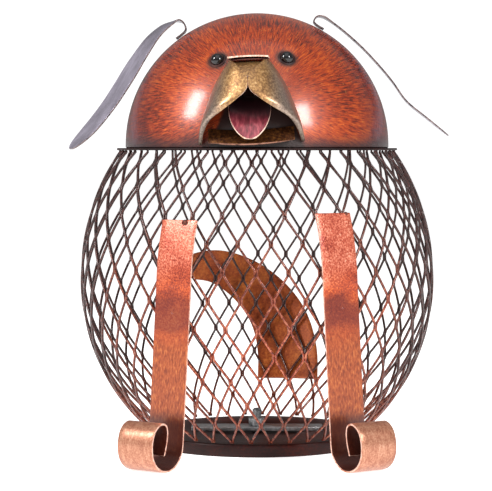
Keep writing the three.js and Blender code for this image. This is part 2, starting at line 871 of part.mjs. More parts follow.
function buildTail() {
  const middle = smoothCurve(tailLine.map(([x, z]) => [x, 0, z]));
  const width = smoothCurve(tailWidths.map((w, k) => [k, w]));
  const surface = (u, v) => {
    const point = middle.getPoint(v);
    const tangent = middle.getTangent(v);
    const across = (u - 0.5) * width.getPoint(v).y;
    const x = point.x - across * tangent.z;
    const z = point.z + across * tangent.x;
    const skin = Math.sqrt((barrelRadiusAt(z) + strandThickness / 2) ** 2 - x ** 2);
    return new THREE.Vector3(x, skin + tailGap + tailSheet / 2 + tailTipStandoff * v ** 2, z);
  };
  addPart(bank, 'tail', sheet(surface, 6, 20, tailSheet), materials.tailPaint);
}

buildBasePan();
buildHatch();
buildBarrel();
buildHead();
buildEyes();
buildMuzzle();
buildEars();
buildLegs();
buildTail();

// The origin is on the table, half way between the front of the feet and the back of the tail
const footprint = new THREE.Box3().setFromObject(bank, true).getCenter(new THREE.Vector3());
bank.position.y = -footprint.y;

export default bank;
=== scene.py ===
# Puppy money bank: expanded-metal barrel, lacquered sheet head, strip legs, sickle tail.
import math
import random

import bmesh
import bpy
from mathutils import Euler, Matrix, Vector


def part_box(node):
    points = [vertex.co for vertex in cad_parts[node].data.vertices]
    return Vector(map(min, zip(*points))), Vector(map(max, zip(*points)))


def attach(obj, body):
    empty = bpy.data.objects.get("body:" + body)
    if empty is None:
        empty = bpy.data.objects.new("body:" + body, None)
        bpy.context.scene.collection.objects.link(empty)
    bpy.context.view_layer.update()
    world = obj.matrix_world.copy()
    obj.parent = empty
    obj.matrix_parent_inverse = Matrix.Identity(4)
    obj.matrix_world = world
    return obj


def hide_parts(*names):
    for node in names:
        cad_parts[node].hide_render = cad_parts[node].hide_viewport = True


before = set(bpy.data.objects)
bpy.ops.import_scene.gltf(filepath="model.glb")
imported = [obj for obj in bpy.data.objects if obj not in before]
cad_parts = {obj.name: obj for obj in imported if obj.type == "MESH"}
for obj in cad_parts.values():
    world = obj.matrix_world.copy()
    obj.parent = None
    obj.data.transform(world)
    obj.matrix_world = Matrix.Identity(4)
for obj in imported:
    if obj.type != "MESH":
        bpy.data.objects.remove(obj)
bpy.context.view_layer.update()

mm = 0.001

# Places that the CAD gives, in mm
collarLow, collarHigh = [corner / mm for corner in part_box("top_collar")]
panLow, panHigh = [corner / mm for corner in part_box("base_pan")]
headLow, headHigh = [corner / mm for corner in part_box("head_dome")]
axisY = (collarLow.y + collarHigh.y) / 2
headBase = headLow.z
headRadius = (headHigh.x - headLow.x) / 2
headCentre = headHigh.z - headRadius
print("frame loaded, barrel axis at y =", round(axisY, 3), "mm")


# ---- Nodes and colours ----

def hexColour(text):
    def toLinear(value):
        return value / 12.92 if value <= 0.04045 else ((value + 0.055) / 1.055) ** 2.4

    parts = [int(text[i:i + 2], 16) / 255 for i in (1, 3, 5)]
    return (*[toLinear(part) for part in parts], 1)


def addNode(tree, kind, inputs=None, **settings):
    node = tree.nodes.new(kind)
    for name, value in settings.items():
        setattr(node, name, value)
    for name, value in (inputs or {}).items():
        if isinstance(value, bpy.types.NodeSocket):
            tree.links.new(value, node.inputs[name])
        else:
            node.inputs[name].default_value = value
    return node


def startMaterial(name, **shaderValues):
    material = bpy.data.materials.new(name)
    material.use_nodes = True
    tree = material.node_tree
    tree.nodes.clear()
    output = addNode(tree, "ShaderNodeOutputMaterial")
    shader = addNode(tree, "ShaderNodeBsdfPrincipled", shaderValues.get("inputs"))
    tree.links.new(shader.outputs[0], output.inputs[0])
    place = addNode(tree, "ShaderNodeTexCoord").outputs["Object"]
    return material, tree, shader, place


def doMath(tree, operation, *values):
    inputs = dict(enumerate(values))
    return addNode(tree, "ShaderNodeMath", inputs, operation=operation).outputs[0]


def times(tree, first, second):
    return doMath(tree, "MULTIPLY", first, second)


def plus(tree, first, second):
    return doMath(tree, "ADD", first, second)


def between(tree, value, low, high):
    # 0 at low and 1 at high, with a soft step between them
    return addNode(
        tree, "ShaderNodeMapRange",
        {"Value": value, "From Min": low, "From Max": high}, interpolation_type="SMOOTHSTEP",
    ).outputs[0]


def mixColour(tree, factor, first, second, blendType="MIX"):
    node = addNode(tree, "ShaderNodeMix", {0: factor}, data_type="RGBA", blend_type=blendType)
    for index, value in ((6, first), (7, second)):
        if isinstance(value, str):
            node.inputs[index].default_value = hexColour(value)
        else:
            tree.links.new(value, node.inputs[index])
    return node.outputs[2]


def grain(tree, place, size, detail=2.0, roughness=0.5, stretch=None):
    # Noise whose lumps are about size mm across
    if stretch:
        place = addNode(tree, "ShaderNodeMapping", {"Vector": place, "Scale": stretch}).outputs[0]
    inputs = {"Vector": place, "Scale": 1 / (size * mm), "Detail": detail, "Roughness": roughness}
    return addNode(tree, "ShaderNodeTexNoise", inputs).outputs[0]


def ramp(tree, factor, stops):
    node = addNode(tree, "ShaderNodeValToRGB", {"Fac": factor})
    elements = node.color_ramp.elements
    while len(elements) < len(stops):
        elements.new(0.5)
    for element, (position, colour) in zip(elements, stops):
        element.position = position
        element.color = hexColour(colour)
    return node.outputs[0]


def addBump(tree, shader, height, distance, strength=1.0):
    bump = addNode(
        tree, "ShaderNodeBump", {"Height": height, "Distance": distance * mm, "Strength": strength}
    )
    tree.links.new(bump.outputs[0], shader.inputs["Normal"])


def setSurface(tree, shader, colour, rough, bump=None):
    # rough is a pattern, how far it spreads the roughness and the least roughness; bump is a
    # pattern, its height in mm and its strength
    tree.links.new(colour, shader.inputs["Base Color"])
    pattern, spread, least = rough
    tree.links.new(plus(tree, times(tree, pattern, spread), least), shader.inputs["Roughness"])
    if bump:
        addBump(tree, shader, *bump)


def shifted(tree, place, offset):
    # The x, y and z of a place, counted from a point given in mm
    moved = addNode(
        tree, "ShaderNodeVectorMath",
        {0: place, 1: [-value * mm for value in offset]}, operation="ADD",
    ).outputs[0]
    return addNode(tree, "ShaderNodeSeparateXYZ", {0: moved}).outputs


# ---- Finishes ----

def headLacquer(eyes):
    # Tinted lacquer wiped over steel with a dry brush: short strokes fan out from the face. It is
    # darker towards the bottom edge, round the eye sockets and towards the outline seen from the
    # front; the part behind the muzzle gets painted shade
    material, tree, shader, place = startMaterial(
        "headLacquer", inputs={"Metallic": 0.2, "Coat Weight": 0.6, "Coat Roughness": 0.17}
    )
    x, y, z = shifted(tree, place, (0, axisY, headBase + 24))
    turn = doMath(tree, "ARCTAN2", x, z)
    out = doMath(tree, "POWER", plus(tree, times(tree, x, x),
                                       times(tree, z, z)), 0.5)
    strokes = addNode(tree, "ShaderNodeCombineXYZ", {
        0: times(tree, turn, 80.0),
        1: times(tree, out, 260.0),
        2: times(tree, y, 50.0),
    }).outputs[0]
    stroke = addNode(
        tree, "ShaderNodeTexNoise", {"Vector": strokes, "Scale": 1.0, "Detail": 3.0, "Roughness": 0.62}
    ).outputs[0]
    blotch = grain(tree, place, 26, 3)
    speck = grain(tree, place, 1.6, 2)
    tone = plus(tree, times(tree, stroke, 0.7),
                  times(tree, blotch, 0.3))
    colour = ramp(tree, tone, (
        (0.34, "#2c0802"), (0.44, "#741f00"), (0.53, "#a33600"), (0.66, "#c25a0c"),
    ))
    colour = mixColour(tree, times(tree, between(tree, speck, 0.62, 0.75), 0.25),
                       colour, "#d98a40")
    edge = between(tree, out, 0.046, 0.070)
    colour = mixColour(tree, times(tree, edge, 0.78), colour, "#3c0c14")
    band = between(tree, plus(tree, z, times(tree, blotch, 0.006)),
                   -0.0125, -0.0205)
    colour = mixColour(tree, times(tree, band, 0.85), colour, "#2a0c10")
    # Painted shade: the dome behind the muzzle, in the flaps' shadow, goes near black
    side = plus(tree, doMath(tree, "ABSOLUTE", x), times(tree, z, 0.39))
    muzzleShadow = times(tree, between(tree, side, 0.0160, 0.0135), between(tree, z, 0.0185, 0.0155))
    muzzleShadow = times(tree, muzzleShadow, between(tree, y, -0.03, -0.04))
    colour = mixColour(tree, muzzleShadow, colour, "#260c08")
    for eye in eyes:
        gap = addNode(tree, "ShaderNodeVectorMath", {0: place, 1: eye * mm}, operation="DISTANCE")
        socket = between(tree, gap.outputs["Value"], 0.0072, 0.0042)
        colour = mixColour(tree, times(tree, socket, 0.85), colour, "#1c0f08")
    setSurface(tree, shader, colour, (stroke, 0.25, 0.28), (stroke, 0.16, 0.5))
    return material


def darkInside():
    # Thin dark red wash on the sheet's back: matt, with bare dark steel showing through
    material, tree, shader, place = startMaterial("darkInside", inputs={"Metallic": 0.3})
    tone = grain(tree, place, 7, 4)
    colour = ramp(tree, tone, ((0.3, "#160a0b"), (0.55, "#32130f"), (0.75, "#4b2014")))
    setSurface(tree, shader, colour, (tone, 0.4, 0.3), (grain(tree, place, 0.9), 0.08, 0.4))
    return material


def muzzleBronze():
    # Bronze powder in lacquer: gold flecks near the seam; where it turns to the sides, a grey painted
    # reflection of the bright surroundings
    material, tree, shader, place = startMaterial(
        "muzzleBronze", inputs={"Metallic": 0.7, "Coat Weight": 0.3, "Coat Roughness": 0.2}
    )
    x = shifted(tree, place, (-5, axisY, headBase + 30))[0]
    fleck = grain(tree, place, 1.1, 3, 0.7)
    cloud = grain(tree, place, 9, 2)
    colour = ramp(tree, plus(tree, times(tree, fleck, 0.7),
                               times(tree, cloud, 0.3)),
                  ((0.32, "#5a3a22"), (0.45, "#8a6440"), (0.56, "#ae8350"), (0.7, "#dcb888")))
    # Painted reflection: the flaps' sides are greyed where they face the white surroundings
    sides = between(tree, doMath(tree, "ABSOLUTE", x), 0.008, 0.019)
    reflectedGrey = ramp(tree, fleck, ((0.35, "#665a55"), (0.65, "#a09690")))
    colour = mixColour(tree, times(tree, sides, 0.75), colour, reflectedGrey)
    setSurface(tree, shader, colour, (fleck, 0.3, 0.22), (fleck, 0.12, 0.6))
    return material


def jawBronze():
    # The same bronze, browner and duller; the brown darkening is painted shade for the flaps' shadow
    # over the jaw
    material, tree, shader, place = startMaterial("jawBronze", inputs={"Metallic": 0.55})
    fleck = grain(tree, place, 1.3, 3, 0.7)
    colour = ramp(tree, fleck, ((0.35, "#241008"), (0.52, "#5a3014"), (0.7, "#8f5f2c")))
    setSurface(tree, shader, colour, (fleck, 0.3, 0.3), (fleck, 0.1, 0.5))
    return material


def cutEdge(name, light, dark):
    # Sheared edge of the sheet, where the paint is thin and bare metal shows; the light edge colours
    # are partly a painted highlight
    material, tree, shader, place = startMaterial(name, inputs={"Metallic": 0.45})
    tone = grain(tree, place, 2.2, 3)
    colour = ramp(tree, tone, ((0.3, dark), (0.55, light)))
    setSurface(tree, shader, colour, (tone, 0.25, 0.25))
    return material


def tonguePaint():
    # Brushed-on pink enamel, with painted shade where it runs back into the mouth
    material, tree, shader, place = startMaterial(
        "tonguePaint", inputs={"Metallic": 0.05, "Coat Weight": 0.5, "Coat Roughness": 0.15}
    )
    z = shifted(tree, place, (0, axisY, headBase))[2]
    streak = grain(tree, place, 1.5, 2, 0.6, stretch=(1, 0.3, 0.3))
    colour = ramp(tree, streak, ((0.3, "#4c1018"), (0.5, "#7c2634"), (0.7, "#a84c54")))
    # Painted shade towards the root, which lies in the mouth's shadow
    mouthShade = between(tree, z, 0.0100, 0.020)
    colour = mixColour(tree, mouthShade, colour, "#250910")
    setSurface(tree, shader, colour, (streak, 0.3, 0.2), (streak, 0.15, 0.5))
    return material


def earLacquer():
    # Clear lacquer on bright steel: grey with a lilac cast, faint lengthwise brush lines, darker
    # towards the top
    material, tree, shader, place = startMaterial(
        "earLacquer", inputs={"Metallic": 0.6, "Coat Weight": 0.2, "Coat Roughness": 0.25}
    )
    z = shifted(tree, place, (0, axisY, headBase))[2]
    cloud = grain(tree, place, 14, 2)
    line = grain(tree, place, 1.1, 2, 0.5, stretch=(0.1, 1, 0.1))
    colour = ramp(tree, cloud, ((0.3, "#8f8896"), (0.5, "#a9a1b2"), (0.7, "#c0b8ca")))
    colour = mixColour(tree, times(tree, between(tree, line, 0.45, 0.7), 0.3),
                       colour, "#4c454d")
    upperDarkening = between(tree, z, 0.045, 0.070)
    colour = mixColour(tree, times(tree, upperDarkening, 0.5), colour, "#443d47")
    setSurface(tree, shader, colour, (line, 0.12, 0.32), (line, 0.015, 0.3))
    return material


def legLacquer():
    # Hammer-finish copper red on the strip's face: speckled, with a painted pink highlight at the top,
    # a dark band a little below the barrel's waist, brown with upright grain further down, painted
    # shade in the roll
    material, tree, shader, place = startMaterial(
        "legLacquer", inputs={"Metallic": 0.35, "Coat Weight": 0.5, "Coat Roughness": 0.2}
    )
    z = shifted(tree, place, (0, axisY, 0))[2]
    cell = addNode(tree, "ShaderNodeTexVoronoi", {"Vector": place, "Scale": 1 / (0.95 * mm)},
                   feature="SMOOTH_F1").outputs["Distance"]
    speck = grain(tree, place, 0.9, 2, 0.65)
    blotch = grain(tree, place, 17, 3)
    upright = grain(tree, place, 0.9, 2, 0.55, stretch=(1, 1, 0.35))
    tone = plus(tree, times(tree, speck, 0.6),
                  times(tree, blotch, 0.4))
    paintedSheen = ramp(tree, tone, (
        (0.36, "#822414"), (0.47, "#b04a30"), (0.56, "#cc7458"), (0.68, "#eaa890"),
    ))
    orange = ramp(tree, tone, (
        (0.36, "#741c06"), (0.47, "#a63a0e"), (0.56, "#c4531c"), (0.68, "#d9773e"),
    ))
    brown = ramp(tree, upright, (
        (0.32, "#7c300e"), (0.46, "#954016"), (0.58, "#a85020"), (0.72, "#bd6a34"),
    ))
    height = plus(tree, z, times(tree, blotch, 0.02))
    # Painted highlight: the top of the strip, which tilts back towards the lamps, goes pink and light
    colour = mixColour(tree, between(tree, height, 0.112, 0.098), paintedSheen, orange)
    colour = mixColour(tree, between(tree, height, 0.086, 0.066), colour, brown)
    band = times(tree, between(tree, height, 0.098, 0.090), between(tree, height, 0.074, 0.082))
    colour = mixColour(tree, times(tree, band, 0.7), colour, "#5c1208")
    # Painted shade low on the strip's face, inside the foot roll
    colour = mixColour(tree, times(tree, between(tree, z, 0.030, 0.021), 0.9),
                       colour, "#3c120d")
    setSurface(tree, shader, colour, (speck, 0.3, 0.25), (cell, 0.14, 0.6))
    return material


def rollLacquer():
    # The other face of the leg strips, sprayed thin: tan copper with faint streaks on the rolls, with
    # painted shade where the strip runs up behind, facing the barrel
    material, tree, shader, place = startMaterial(
        "rollLacquer", inputs={"Metallic": 0.55, "Coat Weight": 0.25, "Coat Roughness": 0.25}
    )
    z = shifted(tree, place, (0, axisY, 0))[2]
    streak = grain(tree, place, 1.8, 2, 0.5, stretch=(1, 1, 0.1))
    speck = grain(tree, place, 0.8, 2, 0.5)
    colour = ramp(tree, plus(tree, times(tree, streak, 0.5),
                               times(tree, speck, 0.5)),
                  ((0.32, "#8e523e"), (0.46, "#ab7056"), (0.58, "#bd866a"), (0.74, "#d4a68c")))
    # Painted shade on the strip's back above the roll, in the shadow between leg and barrel
    colour = mixColour(tree, between(tree, z, 0.026, 0.045), colour, "#4a160e")
    setSurface(tree, shader, colour, (speck, 0.25, 0.24), (streak, 0.03, 0.3))
    return material


def meshLacquer():
    # Black primer on the lattice; the copper red over the front and the belly is partly the strands'
    # paint and partly a painted highlight where they face the lamps and the floor
    material, tree, shader, place = startMaterial(
        "meshLacquer", inputs={"Metallic": 0.5, "Coat Weight": 0.45, "Coat Roughness": 0.12}
    )
    _, y, z = shifted(tree, place, (0, axisY, 0))
    fleck = grain(tree, place, 1.4, 2, 0.6)
    cloud = grain(tree, place, 22, 2)
    dark = ramp(tree, fleck, ((0.35, "#1a0605"), (0.65, "#46201a")))
    copper = ramp(tree, fleck, ((0.33, "#5c1506"), (0.5, "#943818"), (0.68, "#d08060")))
    # Painted highlight, partly: the front, the belly and the bottom rows take the copper
    front = between(tree, plus(tree, y, times(tree, cloud, 0.03)), -0.02, -0.075)
    belly = between(tree, plus(tree, z, times(tree, cloud, 0.04)), 0.165, 0.060)
    paintedHighlight = times(tree, front, belly)
    foot = between(tree, plus(tree, z, times(tree, cloud, 0.02)), 0.055, 0.02)
    paintedHighlight = doMath(tree, "MAXIMUM", paintedHighlight, times(tree, foot, 0.55))
    colour = mixColour(tree, paintedHighlight, dark, copper)
    setSurface(tree, shader, colour, (fleck, 0.35, 0.2), (fleck, 0.08, 0.5))
    return material


def oxidePaint(name, stops, metallic, roughness, shine=0.5):
    # Plain iron-oxide paint, slightly pebbled
    material, tree, shader, place = startMaterial(
        name, inputs={"Metallic": metallic, "Specular IOR Level": shine}
    )
    fleck = grain(tree, place, 1.2, 3, 0.6)
    cloud = grain(tree, place, 18, 2)
    tone = plus(tree, times(tree, fleck, 0.5),
                  times(tree, cloud, 0.5))
    setSurface(tree, shader, ramp(tree, tone, stops), (fleck, 0.3, roughness), (fleck, 0.09, 0.5))
    return material


def eyeGlass():
    # Black glass bead, polished, with the slightest cloudiness
    material, tree, shader, place = startMaterial(
        "eyeGlass", inputs={"IOR": 1.45, "Coat Weight": 0.3, "Coat Roughness": 0.03}
    )
    tone = grain(tree, place, 3, 2)
    setSurface(tree, shader, ramp(tree, tone, ((0.3, "#050507"), (0.7, "#101013"))),
               (tone, 0.06, 0.03))
    return material


def zincSteel():
    # Bright zinc plating on the fixings: faint spangle and fine turning marks
    material, tree, shader, place = startMaterial("zincSteel", inputs={"Metallic": 1.0})
    spangle = grain(tree, place, 2.4, 3)
    setSurface(tree, shader, ramp(tree, spangle, ((0.3, "#8b8c8e"), (0.7, "#c4c5c6"))),
               (spangle, 0.3, 0.2), (grain(tree, place, 0.35), 0.03, 0.4))
    return material


finishes = {
    "inside": darkInside(),
    "bronze": muzzleBronze(),
    "jaw": jawBronze(),
    "tongue": tonguePaint(),
    "ear": earLacquer(),
    "leg": legLacquer(),
    "roll": rollLacquer(),
    "mesh": meshLacquer(),
    "eye": eyeGlass(),
    "steel": zincSteel(),
    "pan": oxidePaint(
        "panPaint", ((0.3, "#100302"), (0.5, "#260704"), (0.7, "#4a1408")), 0.1, 0.3, 0.25),
    "tail": oxidePaint(
        "tailPaint", ((0.3, "#5a1808"), (0.5, "#9a4416"), (0.7, "#c8722e")), 0.35, 0.26),
    "collar": oxidePaint(
        "collarPaint", ((0.3, "#0c0405"), (0.5, "#1c0b0a"), (0.7, "#32150f")), 0.1, 0.4, 0.2),
    "weld": oxidePaint(
        "weldMetal", ((0.3, "#2b100a"), (0.55, "#6a3020"), (0.75, "#a87058")), 0.5, 0.3),
    "copperEdge": cutEdge("copperEdge", "#fbdcc8", "#cf9478"),
    "steelEdge": cutEdge("steelEdge", "#6e5c5a", "#2c2224"),
    "redEdge": cutEdge("redEdge", "#e6b8a4", "#b0664c"),
    "darkEdge": cutEdge("darkEdge", "#9a6a56", "#3a1c16"),
}
print("finishes ready:", len(finishes))


# ---- Curves and mesh helpers ----

def smoothCurve(points):
    # Centripetal curve through the points; the CAD uses the same one
    def at(share):
        place = share * (len(points) - 1)
        index = min(int(place), len(points) - 2)
        weight = place - index
        p1, p2 = Vector(points[index]), Vector(points[index + 1])
        p0 = Vector(points[index - 1]) if index > 0 else 2 * p1 - p2
        p3 = Vector(points[index + 2]) if index + 2 < len(points) else 2 * p2 - p1
        d0, d1, d2 = [max((b - a).length, 1e-6) ** 0.5 for a, b in ((p0, p1), (p1, p2), (p2, p3))]
        t1 = ((p1 - p0) / d0 - (p2 - p0) / (d0 + d1) + (p2 - p1) / d1) * d1
        t2 = ((p2 - p1) / d1 - (p3 - p1) / (d1 + d2) + (p3 - p2) / d2) * d1
        c2 = 3 * (p2 - p1) - 2 * t1 - t2
        c3 = 2 * (p1 - p2) + t1 + t2
        return p1 + t1 * weight + c2 * weight ** 2 + c3 * weight ** 3

    return at


def evenCurve(points, steps=400):
    # The same curve, walked at an even pace
    at = smoothCurve(points)
    places = [at(k / steps) for k in range(steps + 1)]
    lengths = [0.0]
    for a, b in zip(places, places[1:]):
        lengths.append(lengths[-1] + (b - a).length)

    def evenly(share):
        target = share * lengths[-1]
        k = 1
        while k < steps and lengths[k] < target:
            k += 1
        part = (target - lengths[k - 1]) / (lengths[k] - lengths[k - 1])
        return places[k - 1].lerp(places[k], part)

    return evenly


def smoothStep(value, low, high):
    share = max(0.0, min(1.0, (value - low) / (high - low)))
    return share * share * (3 - 2 * share)


def makeObject(name, vertices, faces, faceMaterials, materials, place=None):
    # Vertices are in mm; place is the matrix, in mm, that stands the piece in the frame
    mesh = bpy.data.meshes.new(name)
    matrix = place or Matrix.Identity(4)
    mesh.from_pydata([(matrix @ Vector(v)) * mm for v in vertices], [], faces)
    for material in materials:
        mesh.materials.append(material)
    mesh.polygons.foreach_set("material_index", faceMaterials)
    work = bmesh.new()
    work.from_mesh(mesh)
    bmesh.ops.recalc_face_normals(work, faces=work.faces)
    work.to_mesh(mesh)
    work.free()
    piece = bpy.data.objects.new(name, mesh)
    bpy.context.scene.collection.objects.link(piece)
    return piece


def makeSheet(name, surface, stepsU, stepsV, thickness, materials, place=None):
    # A sheet with a front, a back and a cut edge, each with its own material
    nudge = 1e-3
    points, normals = [], []
    for j in range(stepsV + 1):
        for i in range(stepsU + 1):
            u, v = i / stepsU, j / stepsV
            along = surface(min(1, u + nudge), v) - surface(max(0, u - nudge), v)
            across = surface(u, min(1, v + nudge)) - surface(u, max(0, v - nudge))
            points.append(surface(u, v))
            normals.append(along.cross(across).normalized())
    vertices = [p + n * thickness / 2 for p, n in zip(points, normals)]
    vertices += [p - n * thickness / 2 for p, n in zip(points, normals)]
    layer = (stepsU + 1) * (stepsV + 1)
    faces, kinds = [], []

    def at(i, j):
        return j * (stepsU + 1) + i

    for j in range(stepsV):
        for i in range(stepsU):
            a, b, c, d = at(i, j), at(i + 1, j), at(i + 1, j + 1), at(i, j + 1)
            faces += [(a, b, c, d), (a + layer, d + layer, c + layer, b + layer)]
            kinds += [0, 1]
    border = [at(i, 0) for i in range(stepsU)] + [at(stepsU, j) for j in range(stepsV)]
    border += [at(i, stepsV) for i in range(stepsU, 0, -1)] + [at(0, j) for j in range(stepsV, 0, -1)]
    for a, b in zip(border, border[1:] + border[:1]):
        faces.append((b, a, a + layer, b + layer))
        kinds.append(2)
    return makeObject(name, vertices, faces, kinds, materials, place)


def makeLathe(name, outline, steps, materials, kinds=None):
    # Turns a closed outline of (radius, height) round the barrel's axis
    vertices, rings, faces, faceKinds = [], [], [], []
    for radius, height in outline:
        if radius < 1e-6:
            rings.append([len(vertices)] * steps)
            vertices.append((0, axisY, height))
        else:
            rings.append(list(range(len(vertices), len(vertices) + steps)))
            for k in range(steps):
                angle = 2 * math.pi * k / steps
                vertices.append((radius * math.sin(angle), axisY - radius * math.cos(angle), height))
    for index, ring in enumerate(rings):
        following = rings[(index + 1) % len(rings)]
        if outline[index][0] < 1e-6 and outline[(index + 1) % len(rings)][0] < 1e-6:
            continue
        for k in range(steps):
            corners = [ring[k], ring[(k + 1) % steps], following[(k + 1) % steps], following[k]]
            faces.append(tuple(dict.fromkeys(corners)))
            faceKinds.append(kinds[index] if kinds else 0)
    return makeObject(name, vertices, faces, faceKinds, materials)


def ringOutline(inner, outer, low, high, r=0.2):
    return [(inner, low + r), (inner + r, low), (outer - r, low), (outer, low + r),
            (outer, high - r), (outer - r, high), (inner + r, high), (inner, high - r)]


def makeBall(name, segments, rings, radii, finish, place):
    ball = bmesh.new()
    bmesh.ops.create_uvsphere(ball, u_segments=segments, v_segments=rings, radius=1)
    vertices = [Vector([part * radius for part, radius in zip(v.co, radii)]) for v in ball.verts]
    faces = [tuple(v.index for v in face.verts) for face in ball.faces]
    ball.free()
    return makeObject(name, vertices, faces, [0] * len(faces), [finish], place)


def freeze(piece):
    # Applies what the modifiers make, so that the piece is a plain mesh
    evaluated = piece.evaluated_get(bpy.context.evaluated_depsgraph_get())
    mesh = bpy.data.meshes.new_from_object(evaluated)
    piece.modifiers.clear()
    piece.data = mesh
    mesh.name = piece.name


def softenEdges(piece, width, segments=2, angle=50):
    bevel = piece.modifiers.new("edges", "BEVEL")
    bevel.width = width * mm
    bevel.segments = segments
    bevel.limit_method = "ANGLE"
    bevel.angle_limit = math.radians(angle)
    freeze(piece)


def finishPiece(piece, slotName, *nodes, body="bank", sharp=50):
    piece.data.shade_smooth()
    piece.data.set_sharp_from_angle(angle=math.radians(sharp))
    if nodes:
        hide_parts(*nodes)
    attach(piece, body)


# ---- Head ----

headSizes = {
    "sheet": 1.0, "segments": 144, "arcSteps": 44,
    "slotWidth": 34.0, "slotHeight": 4.0, "slotElevation": 42.0,
    "eyeRadius": 3.5, "eyeSpacing": 35.2, "eyeShift": 0.7, "eyeHeight": 43.5, "holeClearance": 0.5,
    "faceTurn": -2.2, "faceTilt": -1.6,
}


def eyePlaces():
    sizes = headSizes
    turn = Euler((0, math.radians(sizes["faceTilt"]), math.radians(sizes["faceTurn"])), "XYZ")
    found = []
    for side in (-1, 1):
        x = side * sizes["eyeSpacing"] / 2 + sizes["eyeShift"]
        y = -math.sqrt(headRadius ** 2 - sizes["eyeHeight"] ** 2 - x ** 2)
        place = turn.to_matrix() @ Vector((x, y, sizes["eyeHeight"]))
        found.append(place + Vector((0, axisY, headCentre)))
    return found


def cutOut(piece, cutter):
    boolean = piece.modifiers.new("cut", "BOOLEAN")
    boolean.operation = "DIFFERENCE"
    boolean.solver = "EXACT"
    boolean.object = cutter
    freeze(piece)
    bpy.data.objects.remove(cutter)


def buildHead():
    sizes = headSizes
    finishes["head"] = headLacquer(eyePlaces())
    steps = sizes["arcSteps"]
    inner = headRadius - sizes["sheet"]
    outline = []
    for k in range(steps + 1):
        angle = k / steps * math.pi / 2
        outline.append((headRadius * math.sin(angle), headCentre + headRadius * math.cos(angle)))
    roll = 0.25
    outline += [(headRadius, headBase + roll), (headRadius - roll, headBase),
                (inner + roll, headBase), (inner, headBase + roll)]
    for k in range(steps, -1, -1):
        angle = k / steps * math.pi / 2
        outline.append((inner * math.sin(angle), headCentre + inner * math.cos(angle)))
    dome = makeLathe("headDome", outline, sizes["segments"], [finishes["head"], finishes["inside"]])

    # Coin slot with rounded ends, cut square to the skin at the back of the head
    half, radius = sizes["slotWidth"] / 2, sizes["slotHeight"] / 2
    ring = []
    for side, start in ((1, -90), (-1, 90)):
        for k in range(9):
            angle = math.radians(start + 22.5 * k)
            ring.append((side * (half - radius) + radius * math.cos(angle), radius * math.sin(angle)))
    count = len(ring)
    vertices = [(x, headRadius - 6, z) for x, z in ring] + [(x, headRadius + 6, z) for x, z in ring]
    faces = [tuple(range(count)), tuple(range(2 * count - 1, count - 1, -1))]
    faces += [(k, (k + 1) % count, (k + 1) % count + count, k + count) for k in range(count)]
    tip = Matrix.Translation((0, axisY, headCentre)) @ Matrix.Rotation(
        math.radians(sizes["slotElevation"]), 4, "X")
    cutOut(dome, makeObject("slotCutter", vertices, faces, [0] * len(faces), [], tip))

    for place in eyePlaces():
        ball = bmesh.new()
        bmesh.ops.create_uvsphere(
            ball, u_segments=40, v_segments=24,
            radius=(sizes["eyeRadius"] + sizes["holeClearance"]) * mm,
            matrix=Matrix.Translation(place * mm),
        )
        mesh = bpy.data.meshes.new("eyeCutter")
        ball.to_mesh(mesh)
        ball.free()
        cutter = bpy.data.objects.new("eyeCutter", mesh)
        bpy.context.scene.collection.objects.link(cutter)
        cutOut(dome, cutter)
    middle = Vector((0, axisY, headCentre)) * mm
    for polygon in dome.data.polygons:
        fromMiddle = polygon.center - middle
        reach = fromMiddle.length if fromMiddle.z > 0 else fromMiddle.xy.length
        polygon.material_index = 1 if reach < (headRadius - 0.6 * sizes["sheet"]) * mm else 0
    finishPiece(dome, "head_paint", "head_dome", sharp=35)


def buildEyes():
    sizes = headSizes
    middle = Vector((0, axisY, headCentre))
    for name, place in zip(("left", "right"), eyePlaces()):
        outward = (place - middle).normalized()
        turned = Matrix.Translation(place) @ outward.to_track_quat("Z", "Y").to_matrix().to_4x4()
        bead = makeBall("eyeBead-" + name, 48, 32, [sizes["eyeRadius"]] * 3, finishes["eye"], turned)
        finishPiece(bead, "eye_gloss", "eye_" + name)

        # Ring of dark putty that beds the bead in its hole
        vertices, faces = [], []
        major, minor, around, across = sizes["eyeRadius"] + 0.25, 0.55, 48, 10
        for i in range(around):
            for j in range(across):
                a, b = 2 * math.pi * i / around, 2 * math.pi * j / across
                reach = major + minor * math.cos(b) * 1.5
                vertices.append((reach * math.cos(a), reach * math.sin(a), minor * math.sin(b) - 0.15))
                i2, j2 = (i + 1) % around, (j + 1) % across
                faces.append((i * across + j, i2 * across + j, i2 * across + j2, i * across + j2))
        ring = makeObject("eyePutty-" + name, vertices, faces, [0] * len(faces),
                          [finishes["inside"]], turned)
        finishPiece(ring, "eye_gloss")


buildHead()
buildEyes()
print("head and eyes built")


# ---- Muzzle ----

muzzleSizes = {
    "sheet": 0.9, "tilt": -2.2, "turn": -2.2, "seatGap": 0.3,
    "flapGap": 1.15, "edgeGap": 0.9,
    "topHeight": 44.0, "topHalfWidth": 9.6, "topReach": 75.0,
    "footHeight": 2.4, "footHalfWidth": 26.0,
    "seamTop": 36.5, "seamFoot": 29.0, "reach": 88.0,
    "tongueWidth": 21.0, "tongueTop": 25.0, "tongueTipHeight": 4.2, "tongueReach": 85.0,
    "jawHalfWidth": 21.5, "jawRise": 7.0, "jawCup": 1.5, "jawReach": 82.0, "edgeRound": 0.2,
}
headSkirt = headCentre - headBase


def headFront(height, sideways):
    rise = max(0, height - headSkirt)
    return math.sqrt(headRadius ** 2 - rise ** 2 - sideways ** 2)


